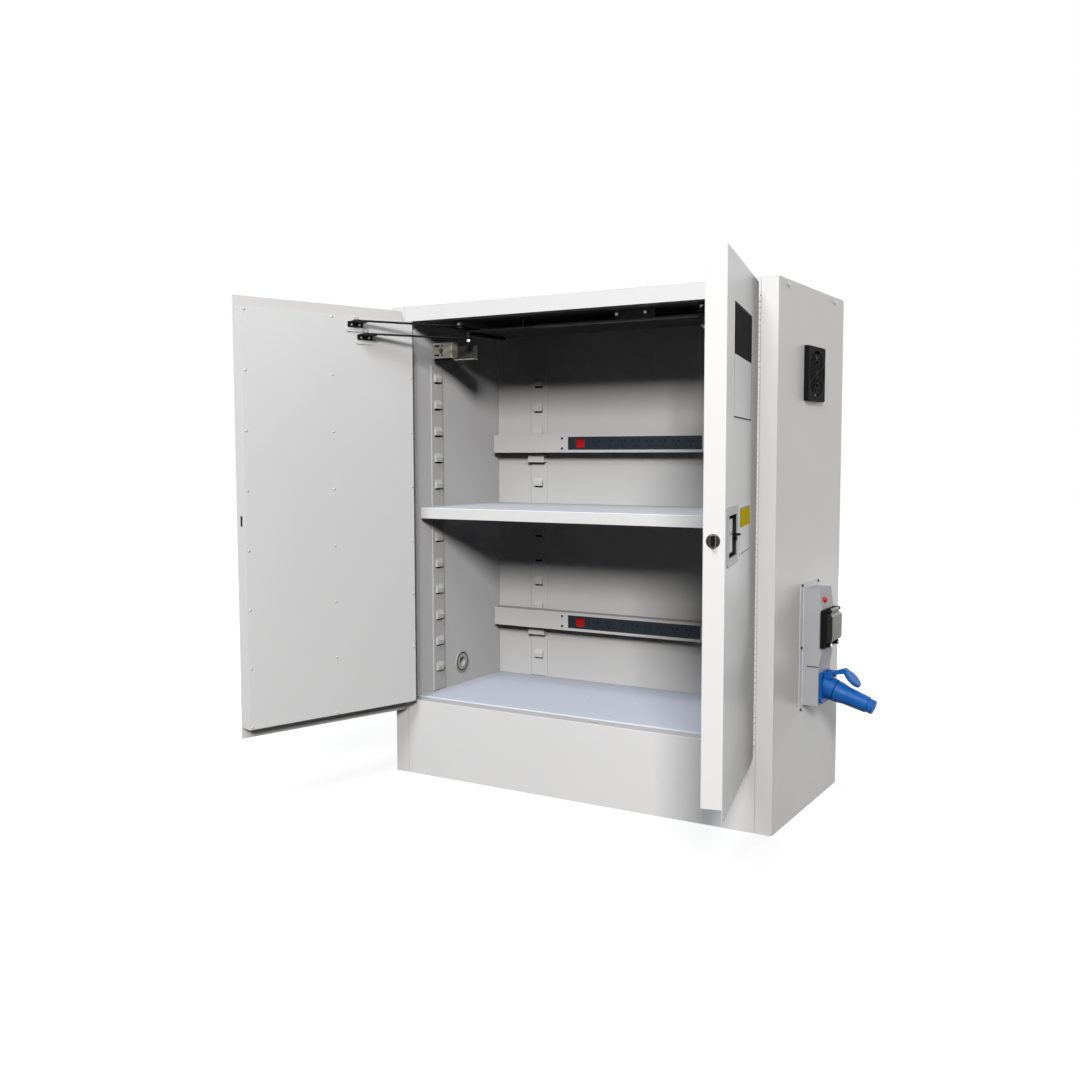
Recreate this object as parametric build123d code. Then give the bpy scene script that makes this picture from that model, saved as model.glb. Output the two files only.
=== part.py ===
from build123d import *
import os
from math import atan2, cos, degrees, hypot, radians, sin

os.makedirs("parts", exist_ok=True)

# Frame: X to the right, Y to the back, Z up, origin at the centre of the underside, millimetres

# Cabinet body
width = 1100.0
depth = 510.0
height = 1290.0
wall = 48.0
sheet = 1.5
liner_sheet = 1.2
stile_width = 44.0
return_depth = 40.0
opening_bottom = 208.0
header_drop = 40.0
seam = 0.7
roof_gap = 2.0
top_flange = 25.0
pan_floor = 0.0
pan_ledge = 12.0
tray_rise = 3.0
tray_height = 12.0
tray_gap = 0.8
tray_hole_pitch = 147.0
tray_hole_radius = 4.0
tray_hole_edge = 55.0
seat_gap = 0.3

# Doors
left_open = 107.3
right_open = 103.6
hinge_proud = 4.6
door_gap = 2.6
skin_inset = 0.75
skin_sheet = 1.2
skin_lap_bottom = 25.6
skin_lap_top = 27.7
skin_start = 6.0
skin_corner = 10.0
door_thickness = 42.35
door_clearance = 3.0
edge_start = 2.4
edge_step = 5.0
rivet_rows = 8
rivet_head_radius = 3.4
rivet_head_height = 1.5
rivet_shank_radius = 2.0
rivet_inset = 6.0
rivet_edge = 8.5

# Piano hinges
knuckle_radius = 4.2
knuckle_count = 77
knuckle_gap = 1.4
pin_radius = 2.0
pin_clearance = 0.06
leaf_sheet = 1.2
leaf_width = 30.0

# Closer under the roof: a crank in step with each door, and two links to its brackets
crank_offset_x = 150.0
crank_offset_y = 250.0
link_pin_v = 56.0
upper_link_u = 187.0
lower_link_u = 158.0
link_width = 18.0
link_sheet = 3.5
link_pin_radius = 4.0
upper_link_rise = 10.5
lower_link_drop = 21.0
crank_hub_radius = 16.0
crank_shaft_radius = 8.0
crank_end_radius = 13.0
plate_drop = 30.0
plate_sheet = 3.0
plate_margin = 34.0
plate_front = 80.0
plate_back = 272.0
lip_start = -140.0
lip_end = 350.0
lip_drop = 2.5

# Shelf, its columns and hooks
column_width = 56.0
column_sheet = 3.0
column_foot_gap = 1.0
column_head_gap = 112.0
side_column_y = 137.0
back_column_x = 357.0
tab_rise = 68.5
tab_pitch = 75.0
tab_width = 30.0
tab_height = 24.0
tab_depth = 6.0
tab_sheet = 1.5
tab_slot_drop = 5.0
tab_slot_rise = 9.0
shelf_tab = 6
shelf_sheet = 1.2
shelf_lip = 30.0
shelf_edge = 25.0
shelf_front_gap = 6.0
shelf_back_gap = 12.0
shelf_side_gap = 10.5
hook_half = 13.0

# Power strips in their channels
upper_channel_tab = 8
upper_channel_rise = 13.5
lower_channel_tab = 1
lower_channel_rise = 10.5
channel_height = 54.0
channel_stand = 47.0
channel_depth = 37.5
channel_end_gap = 12.0
channel_sheet = 1.2
strip_centre_x = -18.5
strip_margin = 8.5
strip_height = 44.0
strip_depth = 35.0
window_length = 423.0
window_height = 38.0
strip_ear = 22.0
outlet_pitch = 42.0
outlet_end = 14.0
outlet_start = 54.0
rocker_inset = 41.0
rocker_width = 27.0
rocker_height = 25.0
rocker_tilt = 8.0
rocker_pivot = 3.0
rocker_pin = 1.5

# Vent, fan and door switch
vent_y = 252.0
vent_rise = 63.5
vent_flange_radius = 32.0
vent_hole_radius = 13.7
vent_tube_radius = 27.0
vent_bore_radius = 24.0
vent_stand = 3.0
fan_y = 253.0
fan_drop = 206.0
fan_size = 120.0
fan_thickness = 38.0
fan_bore = 57.0
guard_size = 132.0
guard_stand = 12.0
guard_wall = 2.5
switch_inset = 48.0
switch_y = 100.0
switch_drop = 44.0
switch_width = 66.0
switch_height = 42.0
switch_depth = 30.0

# Power inlet box on the right side
inlet_y = 254.0
box_width = 96.0
box_bottom = 272.0
box_height = 288.0
box_stand = 42.0
box_bulge = 6.0
box_sheet = 1.2
wire_margin = 18.0
flange_left = 184.7
flange_right = 335.0
flange_lip_bottom = 16.0
flange_lip_top = 14.0
window_rise = 145.0
box_window_height = 93.0
lamp_y = 232.0
lamp_drop = 27.0
lamp_radius = 7.0
socket_y = 244.5
socket_rise = 47.0
socket_plate = 75.0
socket_plate_thick = 8.0
socket_tilt = 18.8
collar_radius = 28.0
collar_bore = 24.5
collar_reach = 32.0
plug_reach = 134.0

# Handle and lock on the right door
handle_inset = 100.7
handle_z = 731.0
handle_plate_width = 145.0
handle_plate_height = 115.0
recess_width = 116.0
recess_height = 82.0
recess_depth = 28.0
latch_drop = 4.0
latch_v = 23.1
lever_pivot_offset = 46.0
lever_pivot_v = 12.0
lever_reach = 62.0
lever_half = 33.0
lock_offset = 38.0
lock_radius = 9.0
bolt_thick = 8.0
bolt_tall = 20.0
bolt_reach = 12.0
rosette_radius = 13.5

# Bare plates on the right door
sign_u = 135.0
sign_z = 961.0
sign_width = 275.0
sign_height = 226.0
label_u = 137.0
label_z = 683.0
label_width = 167.0
label_height = 97.0
plate_thick = 1.0

# Roof bolts
roof_bolt_front = 64.0
roof_bolt_back = 85.0
roof_bolt_drop = 12.0
roof_bolt_radius = 6.0
roof_washer_radius = 7.2

# Places worked out from the sizes
front = -depth / 2
back = depth / 2
side = width / 2
inner_side = side - wall
inner_back = back - wall
hinge_x = side - stile_width
hinge_y = front - hinge_proud
door_width = hinge_x - door_gap / 2
return_x = hinge_x + edge_start
return_y = front + return_depth
roof_under = height - sheet
opening_top = height - header_drop
ceiling = opening_top + roof_gap
tray_top = opening_bottom + tray_rise
pan_top = tray_top - tray_height
skin_bottom = opening_bottom - skin_lap_bottom
skin_top = opening_top + skin_lap_top
plate_z = ceiling - plate_drop
plate_half = hinge_x - crank_offset_x + plate_margin
upper_link_z = plate_z + upper_link_rise
lower_link_z = plate_z - lower_link_drop
column_bottom = tray_top + column_foot_gap
column_top = ceiling - column_head_gap
tab_first = column_bottom + tab_rise
tab_count = int((column_top - tab_first) / tab_pitch) + 1
channel_half = inner_side - channel_end_gap
strip_length = window_length + 2 * strip_margin
rocker_offset = rocker_inset - window_length / 2
outlet_first = rocker_offset + outlet_start
outlet_count = int((window_length / 2 - outlet_end - outlet_first) / outlet_pitch) + 1
vent_z = tray_top + vent_rise
fan_z = height - fan_drop
switch_x = switch_inset - inner_side
switch_z = plate_z - switch_drop
box_top = box_bottom + box_height
flange_bottom = box_bottom - flange_lip_bottom
flange_top = box_top + flange_lip_top
window_bottom = box_bottom + window_rise
window_top = window_bottom + box_window_height
lamp_z = box_top - lamp_drop
socket_z = box_bottom + socket_rise
door_bottom = opening_bottom + door_clearance
door_top = opening_top - door_clearance
cover_v = door_thickness - skin_sheet
handle_u = door_width - handle_inset
lever_pivot_u = handle_u + lever_pivot_offset
lock_u = handle_u - lock_offset
latch_z = handle_z - latch_drop
channel_tabs = (upper_channel_tab, lower_channel_tab)
channel_levels = (tab_first + upper_channel_tab * tab_pitch + upper_channel_rise,
                  tab_first + lower_channel_tab * tab_pitch + lower_channel_rise)
side_sign = {"left": -1, "right": 1}
rest_angle = {"left": left_open, "right": right_open}

nodes = {}


def block(x0, x1, y0, y1, z0, z1):
    """Rectangular solid between two corners."""
    centre = Pos((x0 + x1) / 2, (y0 + y1) / 2, (z0 + z1) / 2)
    return centre * Box(x1 - x0, y1 - y0, z1 - z0)


def rod_x(radius, x0, x1, y, z):
    """Round bar along X."""
    return Pos((x0 + x1) / 2, y, z) * Rot(0, 90, 0) * Cylinder(radius, x1 - x0)


def rod_y(radius, y0, y1, x, z):
    """Round bar along Y."""
    return Pos(x, (y0 + y1) / 2, z) * Rot(90, 0, 0) * Cylinder(radius, y1 - y0)


def rod_z(radius, z0, z1, x, y):
    """Round bar along Z."""
    return Pos(x, y, (z0 + z1) / 2) * Cylinder(radius, z1 - z0)


def prism(plane, points, start, end):
    """Solid swept from a polygon on plane XY, YZ or XZ, between two places on the third axis."""
    normal = plane.z_dir
    along = Vector(abs(normal.X), abs(normal.Y), abs(normal.Z))
    face = plane.location * make_face(Polyline(*points, close=True))
    return extrude(Pos(along.X * start, along.Y * start, along.Z * start) * face, amount=end - start, dir=along)


def group(shapes):
    """Separate solids kept as one node."""
    return Compound(children=[solid for shape in shapes for solid in shape.solids()])


def on_side(shape, hand):
    """A shape drawn for the left side, or its mirror image for the right."""
    return shape if hand == "left" else mirror(shape, about=Plane.YZ)


def swing_angle(hand):
    """Turn about +Z that opens a door from closed to its rest position."""
    return side_sign[hand] * rest_angle[hand]


def opened(shape, hand):
    """A shape of the closed left door, mirrored if need be and turned to rest with its door."""
    axis = Axis((side_sign[hand] * hinge_x, hinge_y, 0), (0, 0, 1))
    return on_side(shape, hand).rotate(axis, swing_angle(hand))


def door_block(u0, u1, v0, v1, z0, z1):
    """Block of the closed left door: u runs from the hinge axis, v into the cabinet."""
    return block(u0 - hinge_x, u1 - hinge_x, hinge_y + v0, hinge_y + v1, z0, z1)


# Outer casing

def side_panel(hand):
    """Side sheet with the front stile and its return folded on."""
    points = [(-side, back), (-side, front), (-return_x, front), (-return_x, return_y),
              (-return_x - sheet, return_y), (-return_x - sheet, front + sheet),
              (-side + sheet, front + sheet), (-side + sheet, back)]
    panel = prism(Plane.XY, points, 0, roof_under)
    if hand == "left":
        panel -= rod_x(vent_tube_radius + 0.1, -side - 1, -side + sheet + 1, front + vent_y, vent_z)
    shape = on_side(panel, hand)
    if hand == "right":
        shape -= rod_x(fan_bore - 2, side - sheet - 1, side + 1, front + fan_y, fan_z)
        half = box_width / 2 - wire_margin
        shape -= block(side - sheet - 1, side + 1, front + inlet_y - half, front + inlet_y + half,
                       box_bottom + wire_margin, box_top - wire_margin)
    return shape


def back_panel():
    """Flat sheet between the side panels."""
    return block(-side + sheet, side - sheet, back - sheet, back, 0, roof_under)


def top_panel():
    """Roof sheet with three flanges turned down inside the casing."""
    x_in = side - sheet
    y_in = back - sheet
    low = roof_under - top_flange
    roof = block(-side, side, front, back, roof_under, height)
    for hand in (-1, 1):
        x_pair = sorted((hand * x_in, hand * (x_in - sheet)))
        roof += block(x_pair[0], x_pair[1], front + sheet, y_in, low, roof_under)
    return roof + block(-x_in + sheet, x_in - sheet, y_in - sheet, y_in, low, roof_under)


def header_rail():
    """Channel over the doors, open upward."""
    face = block(seam - return_x, return_x - seam, front, front + sheet, opening_top, roof_under)
    sole = block(-return_x, return_x, front, return_y, opening_top, opening_top + sheet)
    lip = block(-return_x, return_x, return_y - sheet, return_y, opening_top, ceiling + 4)
    return face + sole + lip


def sump_front():
    """Front of the sump with a rolled sill under the doors."""
    face = block(seam - return_x, return_x - seam, front, front + sheet, 0, opening_bottom)
    sill = block(-return_x, return_x, front, return_y, opening_bottom - sheet, opening_bottom)
    lip = block(-return_x, return_x, return_y - sheet, return_y, opening_bottom - 12, opening_bottom)
    shape = face + sill + lip
    fold = shape.edges().filter_by(Axis.X).group_by(Axis.Z)[-1].sort_by(Axis.Y)[0]
    shape = fillet(fold, sheet * 0.9)
    return shape - block(54, 81, front + 18, front + 26, opening_bottom - sheet - 1, opening_bottom + 1)


def base_pan():
    """Liquid-tight sump under the tray, with its floor carried out to the casing."""
    x_out = inner_side + liner_sheet
    y_out = inner_back + liner_sheet
    x_casing = side - sheet
    floor = block(-x_casing, x_casing, front + sheet, back - sheet, pan_floor, pan_floor + sheet)
    walls = block(-x_out, x_out, return_y, y_out, pan_floor + sheet, pan_top)
    walls -= block(-x_out + sheet, x_out - sheet, return_y + sheet, y_out - sheet, pan_floor, pan_top - sheet)
    mouth = pan_ledge
    walls -= block(-x_out + mouth, x_out - mouth, return_y + mouth, y_out - mouth,
                   pan_top - 2 * sheet, pan_top + 1)
    shape = floor + walls
    for hand in (-1, 1):
        slot = sorted((hand * return_x, hand * (return_x + sheet)))
        shape -= block(slot[0], slot[1], front, return_y, pan_floor - 1, pan_floor + sheet + 1)
    return shape


def liner_side(hand):
    """Inner side wall, flanged out to the stile's return."""
    x_in = inner_side
    x_out = inner_side + liner_sheet
    panel = block(-x_out, -x_in, return_y, inner_back, pan_top, ceiling)
    panel += block(-return_x - sheet, -x_in, return_y, return_y + liner_sheet, pan_top, ceiling)
    if hand == "left":
        panel -= rod_x(vent_tube_radius + 0.1, -x_out - 1, -x_in + 1, front + vent_y, vent_z)
    shape = on_side(panel, hand)
    if hand == "right":
        shape -= rod_x(fan_bore - 2, x_in - 1, x_out + 1, front + fan_y, fan_z)
    return shape


def liner_back():
    """Inner back wall."""
    x_out = inner_side + liner_sheet
    return block(-x_out, x_out, inner_back, inner_back + liner_sheet, pan_top, ceiling)


def liner_top():
    """Ceiling of the inner box."""
    x_out = inner_side + liner_sheet
    return block(-x_out, x_out, return_y, inner_back + liner_sheet, ceiling, ceiling + liner_sheet)


def spill_tray():
    """Removable floor tray with drain holes and turned-down edges."""
    x_out = inner_side - column_sheet - tray_gap
    y_front = return_y + liner_sheet + tray_gap
    y_back = inner_back - column_sheet - tray_gap
    low = pan_top + seat_gap
    tray = block(-x_out, x_out, y_front, y_back, low, tray_top)
    tray -= block(-x_out + sheet, x_out - sheet, y_front + sheet, y_back - sheet, low - 1, tray_top - sheet)
    fold = tray.edges().filter_by(Axis.X).group_by(Axis.Z)[-1].sort_by(Axis.Y)[0]
    tray = fillet(fold, sheet * 0.9)
    columns = int(2 * x_out / tray_hole_pitch)
    for column in range(columns):
        x = (column - (columns - 1) / 2) * tray_hole_pitch
        for y in (y_front + tray_hole_edge, (y_front + y_back) / 2, y_back - tray_hole_edge):
            tray -= rod_z(tray_hole_radius, tray_top - sheet - 1, tray_top + 1, x, y)
    return tray


# Doors

def door_shell(hand):
    """Outer skin with the box edges folded behind it."""
    u_end = door_width
    v_skin = skin_inset + skin_sheet
    t = skin_sheet
    step = edge_step
    outline = [(skin_start, skin_inset), (u_end, skin_inset), (u_end, cover_v), (u_end - t, cover_v),
               (u_end - t, v_skin), (skin_start + t, v_skin), (skin_start + t, step + t),
               (edge_start + t, step + t), (edge_start + t, cover_v), (edge_start, cover_v),
               (edge_start, step), (skin_start, step)]
    points = [(u - hinge_x, hinge_y + v) for u, v in outline]
    shell = prism(Plane.XY, points, door_bottom, door_top)
    skin = door_block(skin_start, u_end, skin_inset, v_skin, skin_bottom, skin_top)
    corners = skin.edges().filter_by(Axis.Y).group_by(Axis.X)[0]
    shell += fillet(corners, skin_corner)
    for low in (door_bottom, door_top - t):
        shell += door_block(skin_start + t, u_end - t, v_skin, cover_v, low, low + t)
        shell += door_block(edge_start + t, skin_start + t, step + t, cover_v, low, low + t)
    if hand == "left":
        shell -= door_block(u_end - t - 1, u_end + 1, latch_v - 6, latch_v + 6, latch_z - 13, latch_z + 13)
    else:
        half_w = recess_width / 2 + 2
        half_h = recess_height / 2 + 2
        shell -= door_block(handle_u - half_w, handle_u + half_w, 0, v_skin + 0.5,
                            handle_z - half_h, handle_z + half_h)
        shell -= rod_x(rosette_radius - 1.5, u_end - t - 1 - hinge_x, u_end + 1 - hinge_x,
                       hinge_y + latch_v, latch_z)
    return opened(shell, hand)


def rivet_places():
    """Rivet centres on the inner cover, as u from the hinge and z."""
    rows = [door_bottom + rivet_inset + k * (door_top - door_bottom - 2 * rivet_inset) / (rivet_rows - 1)
            for k in range(rivet_rows)]
    columns = (rivet_edge, door_width / 2, door_width - rivet_edge)
    return [(u, z) for u in columns for z in rows]


def link_pads():
    """Centres of the two raised pads that carry the link brackets, as u and z, with half sizes."""
    return ((upper_link_u - 2, upper_link_z - 10.5), (lower_link_u - 2, lower_link_z - 10))


pad_half_width = 26.0
pad_half_height = 15.0
pad_rise = 2.0


def door_cover(hand):
    """Inner sheet of a door, with raised pads for the link brackets."""
    cover = door_block(edge_start, door_width, cover_v, door_thickness, door_bottom, door_top)
    for u, z in link_pads():
        pad = door_block(u - pad_half_width, u + pad_half_width, door_thickness, door_thickness + pad_rise,
                         z - pad_half_height, z + pad_half_height)
        cover += fillet(pad.edges().filter_by(Axis.Y), 6)
    for u, z in rivet_places():
        cover -= rod_y(rivet_shank_radius + 0.05, hinge_y + cover_v - 1, hinge_y + door_thickness + 1,
                       u - hinge_x, z)
    return opened(cover, hand)


def door_rivets(hand):
    """Blind rivets that hold the inner cover."""
    rivets = []
    for u, z in rivet_places():
        y_face = hinge_y + door_thickness
        head = Pos(u - hinge_x, y_face, z) * Rot(-90, 0, 0) * Cone(
            rivet_head_radius, rivet_head_radius * 0.55, rivet_head_height,
            align=(Align.CENTER, Align.CENTER, Align.MIN))
        rivets.append(head + rod_y(rivet_shank_radius, y_face - 5, y_face, u - hinge_x, z))
    return opened(group(rivets), hand)


# Piano hinges

def hinge_half(carrier):
    """Leaf and knuckles of one half of the closed left hinge; carrier is frame or door."""
    pitch = (door_top - door_bottom) / knuckle_count
    first = 0 if carrier == "frame" else 1
    facing = -1 if carrier == "frame" else 1
    near = leaf_sheet
    u_pair = sorted((facing * near, facing * (near + leaf_sheet)))
    clear_v = knuckle_radius + 1.0
    leaf = door_block(u_pair[0], u_pair[1], clear_v, leaf_width, door_bottom, door_top)
    bore = pin_radius + pin_clearance
    ring = Pos(-hinge_x, hinge_y, 0) * (Cylinder(knuckle_radius, pitch - knuckle_gap)
                                        - Cylinder(bore, pitch))
    tongue = door_block(u_pair[0], u_pair[1], pin_radius, clear_v,
                        -(pitch - knuckle_gap) / 2, (pitch - knuckle_gap) / 2)
    knuckle = ring + tongue
    centres = [door_bottom + (k + 0.5) * pitch for k in range(first, knuckle_count, 2)]
    return leaf + [Pos(0, 0, z) * knuckle for z in centres]


def frame_hinge_leaves():
    """Hinge halves fixed to the stiles, one on each side."""
    leaf = hinge_half("frame")
    return group([leaf, on_side(leaf, "right")])


def hinge_leaf(hand):
    """Hinge half fixed to a door's edge."""
    return opened(hinge_half("door"), hand)


def hinge_pins():
    """Long pins through the knuckles."""
    over = 2.0
    pin = rod_z(pin_radius, door_bottom - over, door_top + over, -hinge_x, hinge_y)
    return group([pin, on_side(pin, "right")])


# Closer under the roof

def door_vector(hand, u, v, angle):
    """A door point relative to its hinge axis, with the door opened by angle."""
    turn = radians(side_sign[hand] * angle)
    x = -side_sign[hand] * u
    return (x * cos(turn) - v * sin(turn), x * sin(turn) + v * cos(turn))


def crank_place(hand):
    """Pivot of a crank: the hinge axis moved by the length of the links."""
    return (side_sign[hand] * (hinge_x - crank_offset_x), hinge_y + crank_offset_y)


def flat_bar(x0, y0, x1, y1, half, z0, z1, radius_end=None):
    """Flat bar with round ends between two centres."""
    length = hypot(x1 - x0, y1 - y0)
    turn = degrees(atan2(y1 - y0, x1 - x0))
    end = radius_end or half
    bar = Pos(length / 2, 0, 0) * Box(length, 2 * half, z1 - z0)
    bar += Cylinder(end, z1 - z0)
    bar += Pos(length, 0, 0) * Cylinder(half, z1 - z0)
    return Pos(x0, y0, (z0 + z1) / 2) * Rot(0, 0, turn) * bar


lever_top = upper_link_z - 0.5
lever_low = plate_z - 3.5
hub_gap = 0.3


def closer_crank(hand):
    """Two levers welded to one shaft, above and below the plate, with their link pins."""
    cx, cy = crank_place(hand)
    ux, uy = door_vector(hand, upper_link_u, link_pin_v, rest_angle[hand])
    lx, ly = door_vector(hand, lower_link_u, link_pin_v, rest_angle[hand])
    upper = flat_bar(cx, cy, cx + ux, cy + uy, crank_end_radius, lever_top - link_sheet, lever_top,
                     crank_hub_radius)
    lower = flat_bar(cx, cy, cx + lx, cy + ly, crank_end_radius, lever_low - link_sheet, lever_low,
                     crank_hub_radius)
    shaft = rod_z(crank_shaft_radius, lever_low - link_sheet, lever_top, cx, cy)
    collar = rod_z(crank_hub_radius - 2, plate_z + plate_sheet + hub_gap, lever_top, cx, cy)
    foot = rod_z(crank_hub_radius - 2, lever_low - link_sheet, plate_z - hub_gap, cx, cy)
    upper_pin = rod_z(link_pin_radius, lever_top, upper_link_z + link_sheet + 10, cx + ux, cy + uy)
    upper_nut = rod_z(7, upper_link_z + link_sheet + 0.4, upper_link_z + link_sheet + 7, cx + ux, cy + uy)
    spacer = rod_z(7, lower_link_z + link_sheet + 0.4, lever_low - link_sheet, cx + lx, cy + ly)
    lower_pin = rod_z(link_pin_radius, lower_link_z - 6, lever_low - link_sheet, cx + lx, cy + ly)
    lower_head = rod_z(7, lower_link_z - 6, lower_link_z - 0.4, cx + lx, cy + ly)
    return upper + lower + shaft + collar + foot + upper_pin + upper_nut + spacer + lower_pin + lower_head


def door_link(hand, level):
    """Flat link from a door bracket to the crank."""
    u = upper_link_u if level == "upper" else lower_link_u
    z = upper_link_z if level == "upper" else lower_link_z
    dx, dy = door_vector(hand, u, link_pin_v, rest_angle[hand])
    hx = side_sign[hand] * hinge_x
    cx, cy = crank_place(hand)
    bar = flat_bar(hx + dx, hinge_y + dy, cx + dx, cy + dy, link_width / 2, z, z + link_sheet)
    for x, y in ((hx + dx, hinge_y + dy), (cx + dx, cy + dy)):
        bar -= rod_z(link_pin_radius + pin_clearance, z - 1, z + link_sheet + 1, x, y)
    return bar


def link_bracket(u, z_link, pad_u, pad_z):
    """Angle on a door pad that carries one link on a pin."""
    face_v = door_thickness + pad_rise
    tongue_top = z_link - 0.5
    tongue = door_block(pad_u - 22, pad_u + 22, face_v, link_pin_v + 13, tongue_top - link_sheet, tongue_top)
    web = door_block(pad_u - 22, pad_u + 22, face_v, face_v + link_sheet, pad_z - 3, tongue_top)
    x = u - hinge_x
    y = hinge_y + link_pin_v
    pin = rod_z(link_pin_radius, tongue_top - link_sheet, z_link + link_sheet + 7, x, y)
    head = rod_z(5.5, z_link + link_sheet + 0.4, z_link + link_sheet + 4, x, y)
    return tongue + web + pin + head


def link_brackets(hand):
    """Both link brackets of a door."""
    pads = link_pads()
    upper = link_bracket(upper_link_u, upper_link_z, *pads[0])
    lower = link_bracket(lower_link_u, lower_link_z, *pads[1])
    return opened(group([upper, lower]), hand)


hanger_left = 85.0
hanger_right = 198.0
hanger_y = 100.0
stud_x = -187.0
rear_hanger_half = 60.0
rear_hanger_y = 262.0
bracket_reach = 98.0


def closer_plate():
    """Plate under the roof with two bearing holes and a stiffening lip."""
    top = plate_z + plate_sheet
    plate = block(-plate_half, plate_half, front + plate_front, front + plate_back, plate_z, top)
    plate += block(lip_start, lip_end, front + plate_front, front + plate_front + 2,
                   plate_z - lip_drop, top + lip_drop)
    for hand in ("left", "right"):
        cx, cy = crank_place(hand)
        plate -= rod_z(crank_shaft_radius + pin_clearance, plate_z - 5, top + 5, cx, cy)
    return plate


def roof_brackets():
    """Hangers between the ceiling and the closer plate, and the angle that holds the door switch."""
    low = plate_z + plate_sheet
    t = 2.0
    shapes = []
    for x0, x1, y in ((hanger_left, hanger_right, hanger_y),
                      (-rear_hanger_half, rear_hanger_half, rear_hanger_y - 14)):
        web = block(x0, x1, front + y, front + y + t, low, ceiling)
        foot = block(x0, x1, front + y, front + y + 14, low, low + t)
        crown = block(x0, x1, front + y, front + y + 14, ceiling - t, ceiling)
        shapes.append(web + foot + crown)
    shapes.append(rod_z(3, low, ceiling, stud_x, front + hanger_y))
    plate_y = front + switch_y + switch_depth
    z0 = switch_z - switch_height / 2 - 7
    z1 = switch_z + 12
    angle = block(-inner_side, switch_x + bracket_reach, plate_y, plate_y + t, z0, z1)
    angle += block(switch_x + 34, switch_x + bracket_reach, plate_y - 22, plate_y, z0, z0 + t)
    angle += block(-inner_side, -inner_side + t, plate_y, plate_y + 26, z0, z1)
    shapes.append(angle)
    return group(shapes)


# Shelf, columns and hooks

def tab_wedge(z, inset):
    """Pressed hook on a wall at x = 0 that faces +X; inset draws its hollow, open below."""
    half = tab_width / 2 - inset
    low = z - tab_height / 2 - inset
    high = z + tab_height / 2 - inset
    out = column_sheet + tab_depth - inset
    points = [(column_sheet, low), (out, low), (out, high - tab_height / 2), (column_sheet, high)]
    return prism(Plane.XZ, points, -half, half)


def column_strip():
    """Column on a wall at x = 0 that faces +X, with a slot under each pressed hook."""
    half = column_width / 2
    points = [(0, -half), (column_sheet - 1, -half), (column_sheet, -half + 2), (column_sheet, half - 2),
              (column_sheet - 1, half), (0, half)]
    strip = prism(Plane.XY, points, column_bottom, column_top)
    for k in range(tab_count):
        strip += tab_wedge(tab_first + k * tab_pitch, 0)
    slot_half = tab_width / 2 - tab_sheet
    for k in range(tab_count):
        z = tab_first + k * tab_pitch
        low = z - tab_height / 2
        strip -= tab_wedge(z, tab_sheet)
        strip -= block(-1, column_sheet + 0.1, -slot_half, slot_half, low - tab_slot_drop, low + tab_slot_rise)
    return strip


def column_places():
    """Where the wall frame of each column goes: two side walls and two places on the back wall."""
    y = front + side_column_y
    return [Pos(-inner_side, y, 0), Pos(inner_side, y, 0) * Rot(0, 0, 180),
            Pos(-back_column_x, inner_back, 0) * Rot(0, 0, -90),
            Pos(back_column_x, inner_back, 0) * Rot(0, 0, -90)]


def shelf_columns():
    """Four slotted columns."""
    strip = column_strip()
    return group([place * strip for place in column_places()])


shelf_lip_bottom = tab_first + shelf_tab * tab_pitch - 13.5
shelf_top = shelf_lip_bottom + shelf_edge


def hook_tongue(half, low, rise):
    """Upright of a hook that stands in a tab's hollow."""
    start = column_sheet + seat_gap
    return block(start, start + tab_sheet, -half, half, low, low + rise)


def shelf_hook():
    """Hook that hangs in a column's tab and carries the shelf's turned-down edge."""
    low = tab_first + shelf_tab * tab_pitch - 25
    tab_face = column_sheet + tab_depth + seat_gap
    web = block(column_sheet + seat_gap, 20, -hook_half, hook_half, low, low + 3)
    post = block(tab_face, 17, -hook_half, hook_half, low + 3, shelf_lip_bottom - seat_gap)
    return hook_tongue(hook_half - 2, low, 16) + web + post


def channel_hook(tab, level):
    """Hook that hangs in a column's tab and carries a channel's lower flange."""
    half = column_width / 2
    low = tab_first + tab * tab_pitch - tab_height / 2 - 3.5
    web = block(column_sheet + seat_gap, 20, -half, half, low, low + 2)
    post = block(18, 20, -half, half, low, level - seat_gap)
    return hook_tongue(hook_half - 2, low, 14) + web + post


def wall_hooks():
    """Shelf hooks on all four columns, channel hooks on the two back columns."""
    places = column_places()
    shapes = [place * shelf_hook() for place in places]
    for tab, level in zip(channel_tabs, channel_levels):
        shapes += [place * channel_hook(tab, level) for place in places[2:]]
    return group(shapes)


def shelf():
    """Folded shelf with a deep front lip."""
    x_out = inner_side - shelf_side_gap
    y_front = return_y + liner_sheet - 2.2 + shelf_front_gap
    y_back = inner_back - shelf_back_gap
    t = shelf_sheet
    top = block(-x_out, x_out, y_front, y_back, shelf_top - t, shelf_top)
    lip = block(-x_out, x_out, y_front, y_front + t, shelf_top - shelf_lip, shelf_top)
    hem = block(-x_out, x_out, y_front, y_front + 14, shelf_top - shelf_lip, shelf_top - shelf_lip + t)
    shape = top + lip + hem
    for x0 in (-x_out, x_out - t):
        shape += block(x0, x0 + t, y_front + 14, y_back, shelf_lip_bottom, shelf_top)
        shape += block(x0, x0 + t, y_front, y_front + 14, shelf_top - shelf_lip, shelf_top)
    shape += block(-x_out, x_out, y_back - t, y_back, shelf_lip_bottom, shelf_top)
    fold = shape.edges().filter_by(Axis.X).group_by(Axis.Z)[-1].sort_by(Axis.Y)[0]
    return fillet(fold, t * 0.9)


# Power strips

channel_front = inner_back - channel_stand
screw_rows = (12.0, channel_height - 12.0)
screw_half = (strip_length + strip_ear) / 2 + 0.5
screw_columns = (strip_centre_x - screw_half, strip_centre_x + screw_half)


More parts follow.
